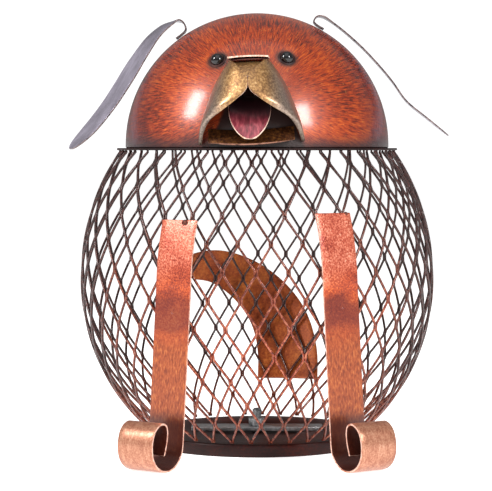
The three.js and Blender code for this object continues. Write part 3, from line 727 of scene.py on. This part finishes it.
def muzzleFlap(side):
    m = muzzleSizes

    def spread(share):
        return m["topHalfWidth"] + (m["footHalfWidth"] - m["topHalfWidth"]) * share

    rootEdge = smoothCurve([
        (spread(0), 0, m["topHeight"]),
        (spread(0.463), 0, 0.727 * m["topHeight"]),
        (spread(0.756), 0, 0.455 * m["topHeight"]),
        (spread(0.927), 0, 0.25 * m["topHeight"]),
        (spread(1), 0, m["footHeight"]),
    ])
    seamHalf = m["seatGap"] / 2 + m["sheet"] * 0.6
    freeEdge = smoothCurve([
        (m["topHalfWidth"] - 1.4, m["topReach"], m["topHeight"] - 0.8),
        (0.44 * m["topHalfWidth"], m["topReach"] + 6, m["seamTop"] + 3),
        (seamHalf, m["topReach"] + 9.5, m["seamTop"] - 0.5),
        (seamHalf, m["reach"], m["seamFoot"]),
        (0.223 * m["footHalfWidth"], m["reach"] + 0.5, 0.828 * m["seamFoot"]),
        (0.462 * m["footHalfWidth"], m["reach"] - 1.5, 0.683 * m["seamFoot"]),
        (0.754 * m["footHalfWidth"], m["reach"] - 6.5, 0.503 * m["seamFoot"]),
        (0.9 * m["footHalfWidth"], m["reach"] - 13.5, 0.297 * m["seamFoot"]),
        (m["footHalfWidth"] - 0.9, m["reach"] - 21, m["footHeight"]),
    ])

    def surface(u, v):
        root, free = rootEdge(v), freeEdge(v)
        reach = headFront(root.z, root.x) + m["flapGap"]
        bulge = (root.x * 0.94 + free.x * 0.1, reach + (free.y - reach) * 0.92,
                 root.z * 0.55 + free.z * 0.45)
        a, b, c = (1 - u) ** 2, 2 * u * (1 - u), u ** 2
        return Vector((
            side * (a * root.x + b * bulge[0] + c * free.x),
            -(a * reach + b * bulge[1] + c * free.y),
            a * root.z + b * bulge[2] + c * free.z,
        ))

    return surface


def noseBridge(u, v):
    m = muzzleSizes
    rise = m["topHeight"] + m["sheet"] / 2 + m["edgeGap"]
    x = (u - 0.5) * 2 * (m["topHalfWidth"] + 0.6)
    root = headFront(rise, x) + m["edgeGap"]
    front = m["topReach"] + 0.8
    return Vector((x, -(root + (front - root) * v), rise - 0.5 * (2 * u - 1) ** 2))


def nosePad(u, v):
    m = muzzleSizes
    edge = smoothCurve([
        (m["topHalfWidth"] - 2.2, m["topReach"] - 11, m["topHeight"] - 1.4),
        (m["topHalfWidth"] - 2.4, m["topReach"] - 0.5, m["topHeight"] - 2.4),
        (0.35 * m["topHalfWidth"], m["topReach"] + 5.3, m["seamTop"] + 1.7),
        (m["seatGap"], m["topReach"] + 8, m["seamTop"] - 1.5),
    ])
    point = edge(v)
    return Vector(((2 * u - 1) * point.x, -point.y, point.z))


def tongueShape(u, v):
    m = muzzleSizes
    taper = math.sqrt(max(0.03, 1 - max(0, (v - 0.45) / 0.57) ** 2))
    across = (u - 0.5) * 2
    x = across * m["tongueWidth"] * taper / 2
    root = headFront(m["tongueTop"], x) + m["edgeGap"]
    reach = root + (m["tongueReach"] - root) * v ** 0.8
    drop = (m["tongueTop"] - m["tongueTipHeight"]) * v ** 1.2
    return Vector((x, -reach, m["tongueTop"] - drop + 2 * across ** 2 * taper))


def jawShape(u, v):
    m = muzzleSizes
    sweep = math.radians(72)
    angle = (u - 0.5) * 2 * sweep
    x = m["jawHalfWidth"] * math.sin(angle) / math.sin(sweep)
    low = 2 * m["seatGap"] + m["sheet"] + m["jawCup"] * (x / m["jawHalfWidth"]) ** 2
    root = headFront(low + m["jawRise"], x) + m["edgeGap"]
    front = m["jawReach"] - 12 * (x / m["jawHalfWidth"]) ** 2
    return Vector((x, -(root + (front - root) * v), low + m["jawRise"] * (1 - v)))


def buildMuzzle():
    m = muzzleSizes
    turn = Euler((0, math.radians(m["tilt"]), math.radians(m["turn"])), "XYZ")
    place = Matrix.Translation((0, axisY, headBase)) @ turn.to_matrix().to_4x4()
    bronze = [finishes["bronze"], finishes["inside"], finishes["copperEdge"]]
    turned = [finishes["inside"], finishes["bronze"], finishes["copperEdge"]]
    tongue = [finishes["inside"], finishes["tongue"], finishes["copperEdge"]]
    plans = (
        ("noseBridge", noseBridge, 20, 16, turned, "muzzle_bronze", "nose_bridge"),
        ("nosePad", nosePad, 16, 32, turned, "muzzle_bronze", "nose_pad"),
        ("muzzleFlap-left", muzzleFlap(-1), 24, 72, turned, "muzzle_bronze", "muzzle_flap_left"),
        ("muzzleFlap-right", muzzleFlap(1), 24, 72, bronze, "muzzle_bronze", "muzzle_flap_right"),
        ("tongue", tongueShape, 24, 48, tongue, "tongue_paint", "tongue"),
        # The jaw's dark edge is painted shade: the jaw lies in the flaps' shadow
        ("lowerJaw", jawShape, 48, 14, [finishes["jaw"]] * 2 + [finishes["darkEdge"]],
         "muzzle_bronze", "lower_jaw"),
    )
    for name, surface, stepsU, stepsV, materials, slotName, node in plans:
        piece = makeSheet(name, surface, stepsU, stepsV, m["sheet"], materials, place)
        softenEdges(piece, m["edgeRound"])
        finishPiece(piece, slotName, node)


buildMuzzle()
print("muzzle, tongue and jaw built")


# ---- Ears ----

earSizes = {
    "sheet": 0.8, "tabWidth": 11.0, "width": 33.0, "seatGap": 0.3, "edgeRound": 0.2,
    "left": {
        "turn": 19.5, "foot": (0.614, 0.577),
        "blade": ((0.541, 0.891), (0.56, 0.947), (0.62, 0.961), (0.763, 0.866), (0.9, 0.683),
                  (1.013, 0.499), (1.134, 0.316), (1.28, 0.133), (1.418, -0.012)),
    },
    "right": {
        "turn": 4.0, "foot": (0.506, 0.466),
        "blade": ((0.431, 0.951), (0.451, 0.989), (0.497, 0.991), (0.593, 0.931), (0.777, 0.776),
                  (0.939, 0.606), (1.034, 0.491), (1.137, 0.349), (1.286, 0.226), (1.457, 0.089)),
    },
}


def earShape(side, shape):
    sizes = earSizes
    turn = math.radians(shape["turn"])
    spinePoints = []
    for share in shape["foot"]:
        out = share * headRadius
        rise = headFront(headSkirt, out)
        slope = out / rise
        upright = (sizes["sheet"] / 2 + 2 * sizes["seatGap"]) * math.hypot(1, slope)
        spinePoints.append((out, 0, headSkirt + rise + upright))
    spinePoints += [(out * headRadius, 0, up * headRadius) for out, up in shape["blade"]]
    spine = evenCurve(spinePoints)

    def surface(u, v):
        beyondTab = math.sqrt(max(0, min(1, (v - 0.1) / 0.4)))
        full = sizes["tabWidth"] + (sizes["width"] - sizes["tabWidth"]) * beyondTab
        tip = math.sqrt(max(0.02, 1 - max(0, (v - 0.84) / 0.163) ** 2))
        across = (u - 0.5) * full * tip
        point = spine(v)
        bladeTurn = turn * smoothStep(v, 0.1, 0.2)
        return Vector((
            side * (point.x - across * math.sin(bladeTurn)), axisY - across * math.cos(bladeTurn),
            headBase + point.z,
        ))

    return surface


def buildEars():
    materials = [finishes["ear"], finishes["ear"], finishes["steelEdge"]]
    for name, side in (("left", -1), ("right", 1)):
        piece = makeSheet("ear-" + name, earShape(side, earSizes[name]), 16, 96,
                          earSizes["sheet"], materials)
        softenEdges(piece, earSizes["edgeRound"])
        finishPiece(piece, "ear_lacquer", "ear_" + name)


buildEars()
print("ears built")


# ---- Barrel of expanded metal ----

barrelSizes = {
    "radius": 93.5, "widestHeight": 88.0, "topRadius": headRadius + 3, "top": 155.4,
    "bottom": panHigh.z + 0.95, "bottomRadius": panHigh.x - 0.5,
    "columns": 36, "rows": 11.45, "twist": -4.0,
    "strandWidth": 1.2, "strandThickness": 1.3, "strandRound": 0.34,
    "bondHalfHeight": 1.5, "wander": 0.22, "seed": 11,
}


def halfHeights():
    b = barrelSizes
    lower = (b["widestHeight"] - b["bottom"]) / math.sqrt(1 - (b["bottomRadius"] / b["radius"]) ** 2)
    upper = (b["top"] - b["widestHeight"]) / math.sqrt(1 - (b["topRadius"] / b["radius"]) ** 2)
    return lower, upper


lowerHalf, upperHalf = halfHeights()


def barrelRadiusAt(height):
    rise = height - barrelSizes["widestHeight"]
    return barrelSizes["radius"] * math.sqrt(1 - (rise / (upperHalf if rise > 0 else lowerHalf)) ** 2)


def measureSide(steps=400):
    bottom, top = barrelSizes["bottom"], barrelSizes["top"]
    heights, lengths = [bottom], [0.0]
    for k in range(1, steps + 1):
        height = bottom + (top - bottom) * k / steps
        outward = barrelRadiusAt(height) - barrelRadiusAt(heights[-1])
        lengths.append(lengths[-1] + math.hypot(height - heights[-1], outward))
        heights.append(height)

    def heightAt(length):
        k = 1
        while k < steps and lengths[k] < length:
            k += 1
        share = (length - lengths[k - 1]) / (lengths[k] - lengths[k - 1])
        return heights[k - 1] + share * (heights[k] - heights[k - 1])

    return lengths[-1], heightAt


def strandLines():
    # Each strand runs up the barrel and swings between two columns of bonds, where it lies
    # side by side with its neighbour
    b = barrelSizes
    whole, heightAt = measureSide()
    rowPitch = whole / b["rows"]
    columnPitch = 2 * math.pi / b["columns"]
    twist = math.radians(b["twist"])
    wander = random.Random(b["seed"])
    lastRow = int(b["rows"]) + 1
    bondShift = {}
    for row in range(lastRow + 1):
        for column in range(2 * b["columns"]):
            bondShift[row, column] = tuple(wander.uniform(-1, 1) * b["wander"] for _ in range(2))
    vertices, edges, outwards = [], [], []

    def addPoint(angle, length):
        height = heightAt(max(0, length))
        outward = barrelRadiusAt(height + 0.5) - barrelRadiusAt(height - 0.5)
        radius = barrelRadiusAt(height)
        turned = angle + columnPitch / 2 + twist * (length / whole - 0.5)
        lean = math.atan2(outward, 1)
        around = (radius * math.sin(turned), axisY - radius * math.cos(turned))
        vertices.append(Vector((*around, height)) * mm)
        outwards.append((math.sin(turned) * math.cos(lean), -math.cos(turned) * math.cos(lean),
                         -math.sin(lean)))

    for strand in range(2 * b["columns"]):
        column, side = strand // 2, 1 if strand % 2 == 0 else -1
        stops = []
        for row in range(lastRow + 1):
            place = 2 * column + (side if row % 2 else 0)
            around, up = bondShift[row, place % (2 * b["columns"])]
            length = row * rowPitch + (up if row else 0)
            radius = barrelRadiusAt(heightAt(min(whole, max(0, length))))
            towards = -side if row % 2 else side
            angle = place * columnPitch / 2 + (towards * b["strandWidth"] * 0.46 + around) / radius
            below = 0 if row == 0 else b["bondHalfHeight"]
            stops.append((angle, length - below))
            stops.append((angle, length + b["bondHalfHeight"]))
        first = len(vertices)
        for (angle0, length0), (angle1, length1) in zip(stops, stops[1:]):
            parts = 1 if length1 - length0 < 4 else 4
            for k in range(parts):
                length = length0 + (length1 - length0) * k / parts
                if length <= whole:
                    addPoint(angle0 + (angle1 - angle0) * k / parts, length)
                elif len(vertices) > first and vertices[-1].z < b["top"] * mm - 1e-6:
                    share = (whole - length0) / (length1 - length0)
                    addPoint(angle0 + (angle1 - angle0) * share, whole)
        # The strand's end runs up into the weld under the collar
        vertices.append(Vector((vertices[-1].x, vertices[-1].y, (collarLow.z - 0.05) * mm)))
        outwards.append(outwards[-1])
        edges += [(k, k + 1) for k in range(first, len(vertices) - 1)]
    return vertices, edges, outwards


def nodeGroup(name, inputs):
    tree = bpy.data.node_groups.new(name, "GeometryNodeTree")
    tree.interface.new_socket("Geometry", in_out="INPUT", socket_type="NodeSocketGeometry")
    for label, kind in inputs:
        tree.interface.new_socket(label, in_out="INPUT", socket_type=kind)
    tree.interface.new_socket("Geometry", in_out="OUTPUT", socket_type="NodeSocketGeometry")
    return tree, addNode(tree, "NodeGroupInput").outputs, addNode(tree, "NodeGroupOutput").inputs


def strandSweep():
    # Sweeps a rounded bar along every line, its flat side facing out of the barrel
    tree, given, result = nodeGroup("strandSweep", (
        ("Strand width", "NodeSocketFloat"), ("Strand thickness", "NodeSocketFloat"),
        ("Edge rounding", "NodeSocketFloat"), ("Finish", "NodeSocketMaterial"),
    ))
    line = addNode(tree, "GeometryNodeMeshToCurve", {0: given["Geometry"]})
    outward = addNode(tree, "GeometryNodeInputNamedAttribute", {"Name": "outward"},
                      data_type="FLOAT_VECTOR").outputs[0]
    line = addNode(tree, "GeometryNodeSetCurveNormal",
                   {"Curve": line.outputs[0], "Normal": outward}, mode="FREE")
    bar = addNode(tree, "GeometryNodeCurvePrimitiveQuadrilateral",
                  {"Width": given["Strand thickness"], "Height": given["Strand width"]})
    bar = addNode(tree, "GeometryNodeFilletCurve",
                  {"Curve": bar.outputs[0], "Radius": given["Edge rounding"]}, mode="POLY")
    bar.inputs["Count"].default_value = 1
    swept = addNode(tree, "GeometryNodeCurveToMesh",
                    {"Curve": line.outputs[0], "Profile Curve": bar.outputs[0], "Fill Caps": True})
    real = addNode(tree, "GeometryNodeRealizeInstances", {0: swept.outputs[0]})
    done = addNode(tree, "GeometryNodeSetMaterial",
                   {"Geometry": real.outputs[0], "Material": given["Finish"]})
    tree.links.new(done.outputs[0], result[0])
    return tree


def runNodes(piece, tree, values):
    modifier = piece.modifiers.new(tree.name, "NODES")
    modifier.node_group = tree
    for item in tree.interface.items_tree:
        if item.in_out == "INPUT" and item.name in values:
            modifier[item.identifier] = values[item.name]
    freeze(piece)


def buildBarrel():
    b = barrelSizes
    vertices, edges, outwards = strandLines()
    mesh = bpy.data.meshes.new("barrelMesh")
    mesh.from_pydata(vertices, edges, [])
    attribute = mesh.attributes.new("outward", "FLOAT_VECTOR", "POINT")
    attribute.data.foreach_set("vector", [value for point in outwards for value in point])
    barrel = bpy.data.objects.new("barrelMesh", mesh)
    bpy.context.scene.collection.objects.link(barrel)
    runNodes(barrel, strandSweep(), {
        "Strand width": b["strandWidth"] * mm, "Strand thickness": b["strandThickness"] * mm,
        "Edge rounding": b["strandRound"] * mm, "Finish": finishes["mesh"],
    })
    finishPiece(barrel, "mesh_paint", "barrel_mesh", sharp=60)
    return len(barrel.data.polygons)


print("barrel built, faces:", buildBarrel())


# ---- Collar and base pan ----

collarSizes = {"outer": collarHigh.x, "inner": 66.0, "round": 0.35}
panSizes = {"outer": panHigh.x, "height": panHigh.z, "sheet": 1.0, "edgeRadius": 1.2, "hole": 26.0}


def buildCollar():
    c = collarSizes
    low, high, r = collarLow.z, collarHigh.z, c["round"]
    outline = [
        (c["inner"] + r, low), (c["outer"] - r, low), (c["outer"] - 0.1, low + 0.12),
        (c["outer"], low + r), (c["outer"], high - r), (c["outer"] - 0.1, high - 0.12),
        (c["outer"] - r, high), (c["inner"] + r, high), (c["inner"], high - r), (c["inner"], low + r),
    ]
    collar = makeLathe("topCollar", outline, 160, [finishes["collar"]])
    finishPiece(collar, "mesh_paint", "top_collar")
    # Weld that closes the seam between the collar and the head; its dark paint also stands for painted
    # shade along the joint
    seam = makeLathe("collarSeam", ringOutline(headRadius - 1.6, headRadius - 0.4, high - 0.3,
                                               headBase + 0.3, r=0.1), 160, [finishes["collar"]])
    finishPiece(seam, "mesh_paint")


def buildPan():
    p = panSizes
    outer, height, sheet, bend = p["outer"], p["height"], p["sheet"], p["edgeRadius"]
    inner = outer - sheet
    outline = [(p["hole"], height - sheet), (p["hole"] + 0.1, height - sheet)]
    for k in range(7):
        angle = k / 6 * math.pi / 2
        outline.append((inner - bend + bend * math.sin(angle),
                        height - sheet - bend + bend * math.cos(angle)))
    outline += [(inner, 0.25), (inner + 0.25, 0), (outer - 0.25, 0), (outer, 0.25)]
    for k in range(7):
        angle = (1 - k / 6) * math.pi / 2
        outline.append((outer - bend + bend * math.sin(angle), height - bend + bend * math.cos(angle)))
    outline += [(p["hole"] + 0.2, height), (p["hole"], height - 0.2)]
    pan = makeLathe("basePan", outline, 160, [finishes["pan"]])
    finishPiece(pan, "base_paint", "base_pan")


buildCollar()
buildPan()
print("collar and pan built")


# ---- Legs ----

legSizes = {
    "width": 20.8, "sheet": 1.0, "topLeft": 122.0, "topRight": 125.4, "facing": 33.5, "lean": 0.022,
    "offset": 11.8, "gap": 0.6, "splay": 4.2, "footRadius": 12.3, "footReach": 13.2, "edgeRound": 0.22,
    "hugSteps": 40, "shinSteps": 24, "rollSteps": 136,
    "footRoll": ((-1, 0), (-0.924, -0.383), (-0.707, -0.707), (-0.383, -0.924), (0, -1),
                 (0.383, -0.924), (0.707, -0.707), (0.924, -0.383), (1, 0), (0.97, 0.37),
                 (0.84, 0.71), (0.6, 0.93), (0.33, 1), (0.12, 0.9), (0.03, 0.66), (0.05, 0.3),
                 (0.12, 0), (0.22, -0.32)),
    "pips": {
        "left": (("waist", 76.5, 0.5, 1.3, 0.9, "leg"), ("top", 120.6, 3.4, 2.1, 1.3, "weld")),
        "right": (("waist", 79.0, 0.3, 1.2, 0.9, "leg"), ("top", 125.0, 8.0, 1.2, 1.0, "weld")),
    },
}


def legLine(top):
    s = legSizes
    hugSteps, shinSteps, rollSteps = s["hugSteps"], s["shinSteps"], s["rollSteps"]
    innerEdge = s["offset"] - s["width"] / 2

    def forward(height):
        skin = barrelRadiusAt(height) + barrelSizes["strandThickness"] / 2
        return math.sqrt(skin ** 2 - innerEdge ** 2) + s["gap"] + s["sheet"] / 2

    widest = barrelSizes["widestHeight"]
    line = []
    for k in range(hugSteps + 1):
        height = top + (widest - top) * k / hugSteps
        line.append(Vector((forward(height), height)))
    reach = s["footReach"] - s["sheet"] / 2
    rise = s["footRadius"] - s["sheet"] / 2
    middle = forward(widest) + s["splay"] + reach
    start = Vector((middle - reach, s["footRadius"]))
    for k in range(1, shinSteps):
        line.append(line[hugSteps].lerp(start, k / shinSteps))
    roll = smoothCurve([(x, z, 0) for x, z in s["footRoll"]])
    for k in range(rollSteps + 1):
        point = roll(k / rollSteps)
        line.append(Vector((middle + reach * point.x, s["footRadius"] + rise * point.y)))
    return line


def legPlace(side):
    return Matrix.Translation((0, axisY, 0)) @ Matrix.Rotation(
        side * math.radians(legSizes["facing"]), 4, "Z")


def legPoint(side, across, point):
    s = legSizes
    return Vector((across - side * s["offset"] - side * s["lean"] * point.y, -point.x, point.y))


def addPip(name, place, size, proud, finish, facing):
    stand = Matrix.Translation(place) @ Matrix.Rotation(math.radians(facing), 4, "Z")
    pip = makeBall(name, 20, 12, (size, proud, 0.8 * size), finish, stand)
    finishPiece(pip, "leg_paint")


def buildLegs():
    s = legSizes
    widest = barrelSizes["widestHeight"]
    materials = [finishes["leg"], finishes["roll"], finishes["redEdge"]]
    for name, side, top in (("left", -1, s["topLeft"]), ("right", 1, s["topRight"])):
        line = legLine(top)
        steps = len(line) - 1

        def surface(u, v, side=side, line=line, steps=steps):
            place = v * steps
            index = min(int(place), steps - 1)
            point = line[index].lerp(line[index + 1], place - index)
            return legPoint(side, (0.5 - u) * s["width"], point)

        leg = makeSheet("leg-" + name, surface, 6, steps, s["sheet"], materials, legPlace(side))
        softenEdges(leg, s["edgeRound"])
        finishPiece(leg, "leg_paint", "leg_" + name)

        # Spot-weld pips on the strip's face, and the bead that holds its top to the barrel
        for label, height, across, size, proud, finish in s["pips"][name]:
            if height > widest:
                down = s["hugSteps"] * (top - height) / (top - widest)
            else:
                down = s["hugSteps"] + s["shinSteps"] * (widest - height) / (widest - s["footRadius"])
            spot = surface(0.5 - across / s["width"], down / steps)
            addPip("legWeld-%s-%s" % (name, label), legPlace(side) @ spot, size, proud,
                   finishes[finish], side * s["facing"])


buildLegs()
print("legs built")


# ---- Tail ----

tailSizes = {
    "sheet": 1.0, "gap": 0.7, "tipStandoff": 13.9, "edgeRound": 0.22,
    "line": ((17.5, 26), (17.4, 41), (13.6, 56.4), (5, 70), (-8.5, 81.7), (-24, 88.4), (-38, 88),
             (-46, 84)),
    "widths": (34, 34, 32.5, 29, 24.5, 19.5, 14.5, 5),
}


def buildTail():
    t = tailSizes
    middle = smoothCurve([(x, 0, z) for x, z in t["line"]])
    width = smoothCurve([(k, w, 0) for k, w in enumerate(t["widths"])])

    def surface(u, v):
        point = middle(v)
        tangent = (middle(min(1, v + 1e-3)) - middle(max(0, v - 1e-3))).normalized()
        across = (u - 0.5) * width(v).y
        x, z = point.x - across * tangent.z, point.z + across * tangent.x
        skin = math.sqrt((barrelRadiusAt(z) + barrelSizes["strandThickness"] / 2) ** 2 - x ** 2)
        return Vector((x, axisY + skin + t["gap"] + t["sheet"] / 2 + t["tipStandoff"] * v ** 2, z))

    materials = [finishes["tail"], finishes["tail"], finishes["darkEdge"]]
    tail = makeSheet("tail", surface, 16, 80, t["sheet"], materials)
    softenEdges(tail, t["edgeRound"])
    finishPiece(tail, "tail_paint", "tail")


buildTail()
print("tail built")


# ---- Hatch under the pan ----

hatchSizes = {
    "boltHole": 2.75, "coverRadius": 32.0, 
    "washerRadius": 6.0, "screwRadius": 2.5, "screwHeadRadius": 8.0, "threadPitch": 0.8,
    "knurls": 40, "knurlDepth": 0.35,
}


def knurlRing():
    # Sets one upright ridge at each step round a ring
    tree, given, result = nodeGroup("knurlRing", (
        ("Knurls", "NodeSocketInt"), ("Ring radius", "NodeSocketFloat"),
        ("Knurl width", "NodeSocketFloat"), ("Knurl length", "NodeSocketFloat"),
        ("Middle", "NodeSocketVector"), ("Finish", "NodeSocketMaterial"),
    ))
    ring = addNode(tree, "GeometryNodeMeshCircle",
                   {"Vertices": given["Knurls"], "Radius": given["Ring radius"]})
    ridge = addNode(tree, "GeometryNodeMeshCylinder",
                    {"Vertices": 6, "Radius": given["Knurl width"], "Depth": given["Knurl length"]})
    placed = addNode(tree, "GeometryNodeInstanceOnPoints",
                     {"Points": ring.outputs[0], "Instance": ridge.outputs[0]})
    moved = addNode(tree, "GeometryNodeTransform",
                    {"Geometry": placed.outputs[0], "Translation": given["Middle"]})
    real = addNode(tree, "GeometryNodeRealizeInstances", {0: moved.outputs[0]})
    done = addNode(tree, "GeometryNodeSetMaterial",
                   {"Geometry": real.outputs[0], "Material": given["Finish"]})
    tree.links.new(done.outputs[0], result[0])
    return tree


def buildHatch():
    h = hatchSizes
    coverLow, coverHigh = [corner.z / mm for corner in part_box("hatch_cover")]
    cover = makeLathe("hatchCover", ringOutline(h["boltHole"], h["coverRadius"], coverLow, coverHigh),
                      128, [finishes["pan"]])
    finishPiece(cover, "base_paint", "hatch_cover", body="hatch")

    low, high = [corner.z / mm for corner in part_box("hatch_washer")]
    washer = makeLathe("hatchWasher", ringOutline(h["boltHole"], h["washerRadius"], low, high),
                       64, [finishes["steel"]])
    finishPiece(washer, "plain_steel", "hatch_washer", body="hatch")

    low, high = [corner.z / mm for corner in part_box("hatch_screw")]
    headTop = low + 2.5
    outline = [(0, low), (h["screwHeadRadius"] - 1.1, low), (h["screwHeadRadius"] - 0.35, low + 0.5),
               (h["screwHeadRadius"] - 0.35, headTop - 0.5), (h["screwHeadRadius"] - 1.1, headTop),
               (h["screwRadius"], headTop)]
    z = headTop + 1
    while z < high - 1.4:
        outline += [(h["screwRadius"], z), (h["screwRadius"] - 0.35, z + h["threadPitch"] / 2)]
        z += h["threadPitch"]
    outline += [(h["screwRadius"], high - 1), (h["screwRadius"] - 1, high), (0, high)]
    screw = makeLathe("hatchScrew", outline, 48, [finishes["steel"]])
    finishPiece(screw, "plain_steel", "hatch_screw", body="screw", sharp=30)

    ring = makeObject("hatchScrewKnurls", [(0, axisY, low)], [], [], [])
    runNodes(ring, knurlRing(), {
        "Knurls": h["knurls"], "Ring radius": (h["screwHeadRadius"] - 0.4) * mm,
        "Knurl width": h["knurlDepth"] * mm, "Knurl length": 1.5 * mm,
        "Middle": (0, axisY * mm, (low + 1.25) * mm), "Finish": finishes["steel"],
    })
    finishPiece(ring, "plain_steel", body="screw", sharp=30)

    for name, node in (("hatchCrossbar", "hatch_crossbar"), ("hatchNut", "hatch_nut")):
        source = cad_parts[node].data
        shape = bmesh.new()
        shape.from_mesh(source)
        bmesh.ops.remove_doubles(shape, verts=shape.verts, dist=1e-6)
        bmesh.ops.dissolve_limit(shape, angle_limit=0.01, verts=shape.verts, edges=shape.edges)
        mesh = bpy.data.meshes.new(name)
        shape.to_mesh(mesh)
        shape.free()
        mesh.materials.clear()
        mesh.materials.append(finishes["steel"])
        piece = bpy.data.objects.new(name, mesh)
        bpy.context.scene.collection.objects.link(piece)
        softenEdges(piece, 0.25, angle=40)
        finishPiece(piece, "plain_steel", node, sharp=30)


buildHatch()
print("hatch built")


# ---- Floor, lights and camera ----

studio = {
    "floorColour": "#fbfaf9", "floorSize": 120.0,
    "cameraDistance": 1.095, "cameraHeight": 0.1575, "pitch": 87.28, "pan": 0.307, "lens": 150.0,
}


def buildFloor():
    half = studio["floorSize"] / 2
    mesh = bpy.data.meshes.new("floor")
    mesh.from_pydata([(-half, -half, 0), (half, -half, 0), (half, half, 0), (-half, half, 0)], [],
                     [(0, 1, 2, 3)])
    material, tree, shader, place = startMaterial("floorCard", inputs={"Roughness": 0.9})
    tone = grain(tree, place, 60, 2)
    tree.links.new(ramp(tree, tone, ((0.0, "#f8f7f5"), (1.0, studio["floorColour"]))),
                   shader.inputs["Base Color"])
    shader.inputs["Emission Color"].default_value = (1, 1, 1, 1)
    shader.inputs["Emission Strength"].default_value = 0.75
    # Seen from below the card is clear, so that the hatch shows
    output = next(node for node in tree.nodes if node.type == "OUTPUT_MATERIAL")
    below = addNode(tree, "ShaderNodeNewGeometry").outputs["Backfacing"]
    clear = addNode(tree, "ShaderNodeBsdfTransparent")
    mixed = addNode(tree, "ShaderNodeMixShader", {0: below, 1: shader.outputs[0], 2: clear.outputs[0]})
    tree.links.new(mixed.outputs[0], output.inputs[0])
    mesh.materials.append(material)
    floor = bpy.data.objects.new("floor", mesh)
    bpy.context.scene.collection.objects.link(floor)


def addSoftbox(name, azimuth, elevation, distance, width, height, power, target):
    data = bpy.data.lights.new(name, "AREA")
    data.shape = "RECTANGLE"
    data.size, data.size_y = width, height
    data.energy = power
    light = bpy.data.objects.new(name, data)
    a, e = math.radians(azimuth), math.radians(elevation)
    offset = Vector((math.sin(a) * math.cos(e), -math.cos(a) * math.cos(e), math.sin(e))) * distance
    light.location = target + offset
    light.rotation_euler = (-offset).to_track_quat("-Z", "Y").to_euler()
    bpy.context.scene.collection.objects.link(light)


def buildLights():
    target = Vector((0, axisY * mm, 0.15))
    addSoftbox("keyLeft", -62, 30, 1.3, 0.26, 0.46, 13, target)
    addSoftbox("fillRight", 42, 24, 1.3, 0.26, 0.38, 11, target)
    addSoftbox("front", -8, 48, 1.8, 1.8, 1.2, 7, target)
    addSoftbox("top", 0, 80, 1.4, 1.2, 1.0, 3, target)
    world = bpy.data.worlds.new("studio")
    bpy.context.scene.world = world
    world.use_nodes = True
    tree = world.node_tree
    tree.nodes.clear()
    output = addNode(tree, "ShaderNodeOutputWorld")
    direction = addNode(tree, "ShaderNodeTexCoord").outputs["Generated"]
    parts = addNode(tree, "ShaderNodeSeparateXYZ", {0: direction})
    behind = between(tree, parts.outputs[1], -0.6, 0.5)
    strength = plus(tree, times(tree, behind, -0.1), 0.36)
    seen = addNode(tree, "ShaderNodeLightPath").outputs["Is Camera Ray"]
    strength = addNode(tree, "ShaderNodeMix", {0: seen, 2: strength, 3: 1.15}).outputs[0]
    background = addNode(tree, "ShaderNodeBackground", {"Color": (1, 1, 1, 1), "Strength": strength})
    tree.links.new(background.outputs[0], output.inputs[0])


def buildCamera():
    data = bpy.data.cameras.new("camera")
    data.lens = studio["lens"]
    data.sensor_width = 36
    camera = bpy.data.objects.new("camera", data)
    camera.location = (0, axisY * mm - studio["cameraDistance"], studio["cameraHeight"])
    camera.rotation_euler = (math.radians(studio["pitch"]), 0, math.radians(studio["pan"]))
    bpy.context.scene.collection.objects.link(camera)
    bpy.context.scene.camera = camera
    bpy.context.scene.view_settings.view_transform = "Standard"


buildFloor()
buildLights()
buildCamera()
print("studio ready")
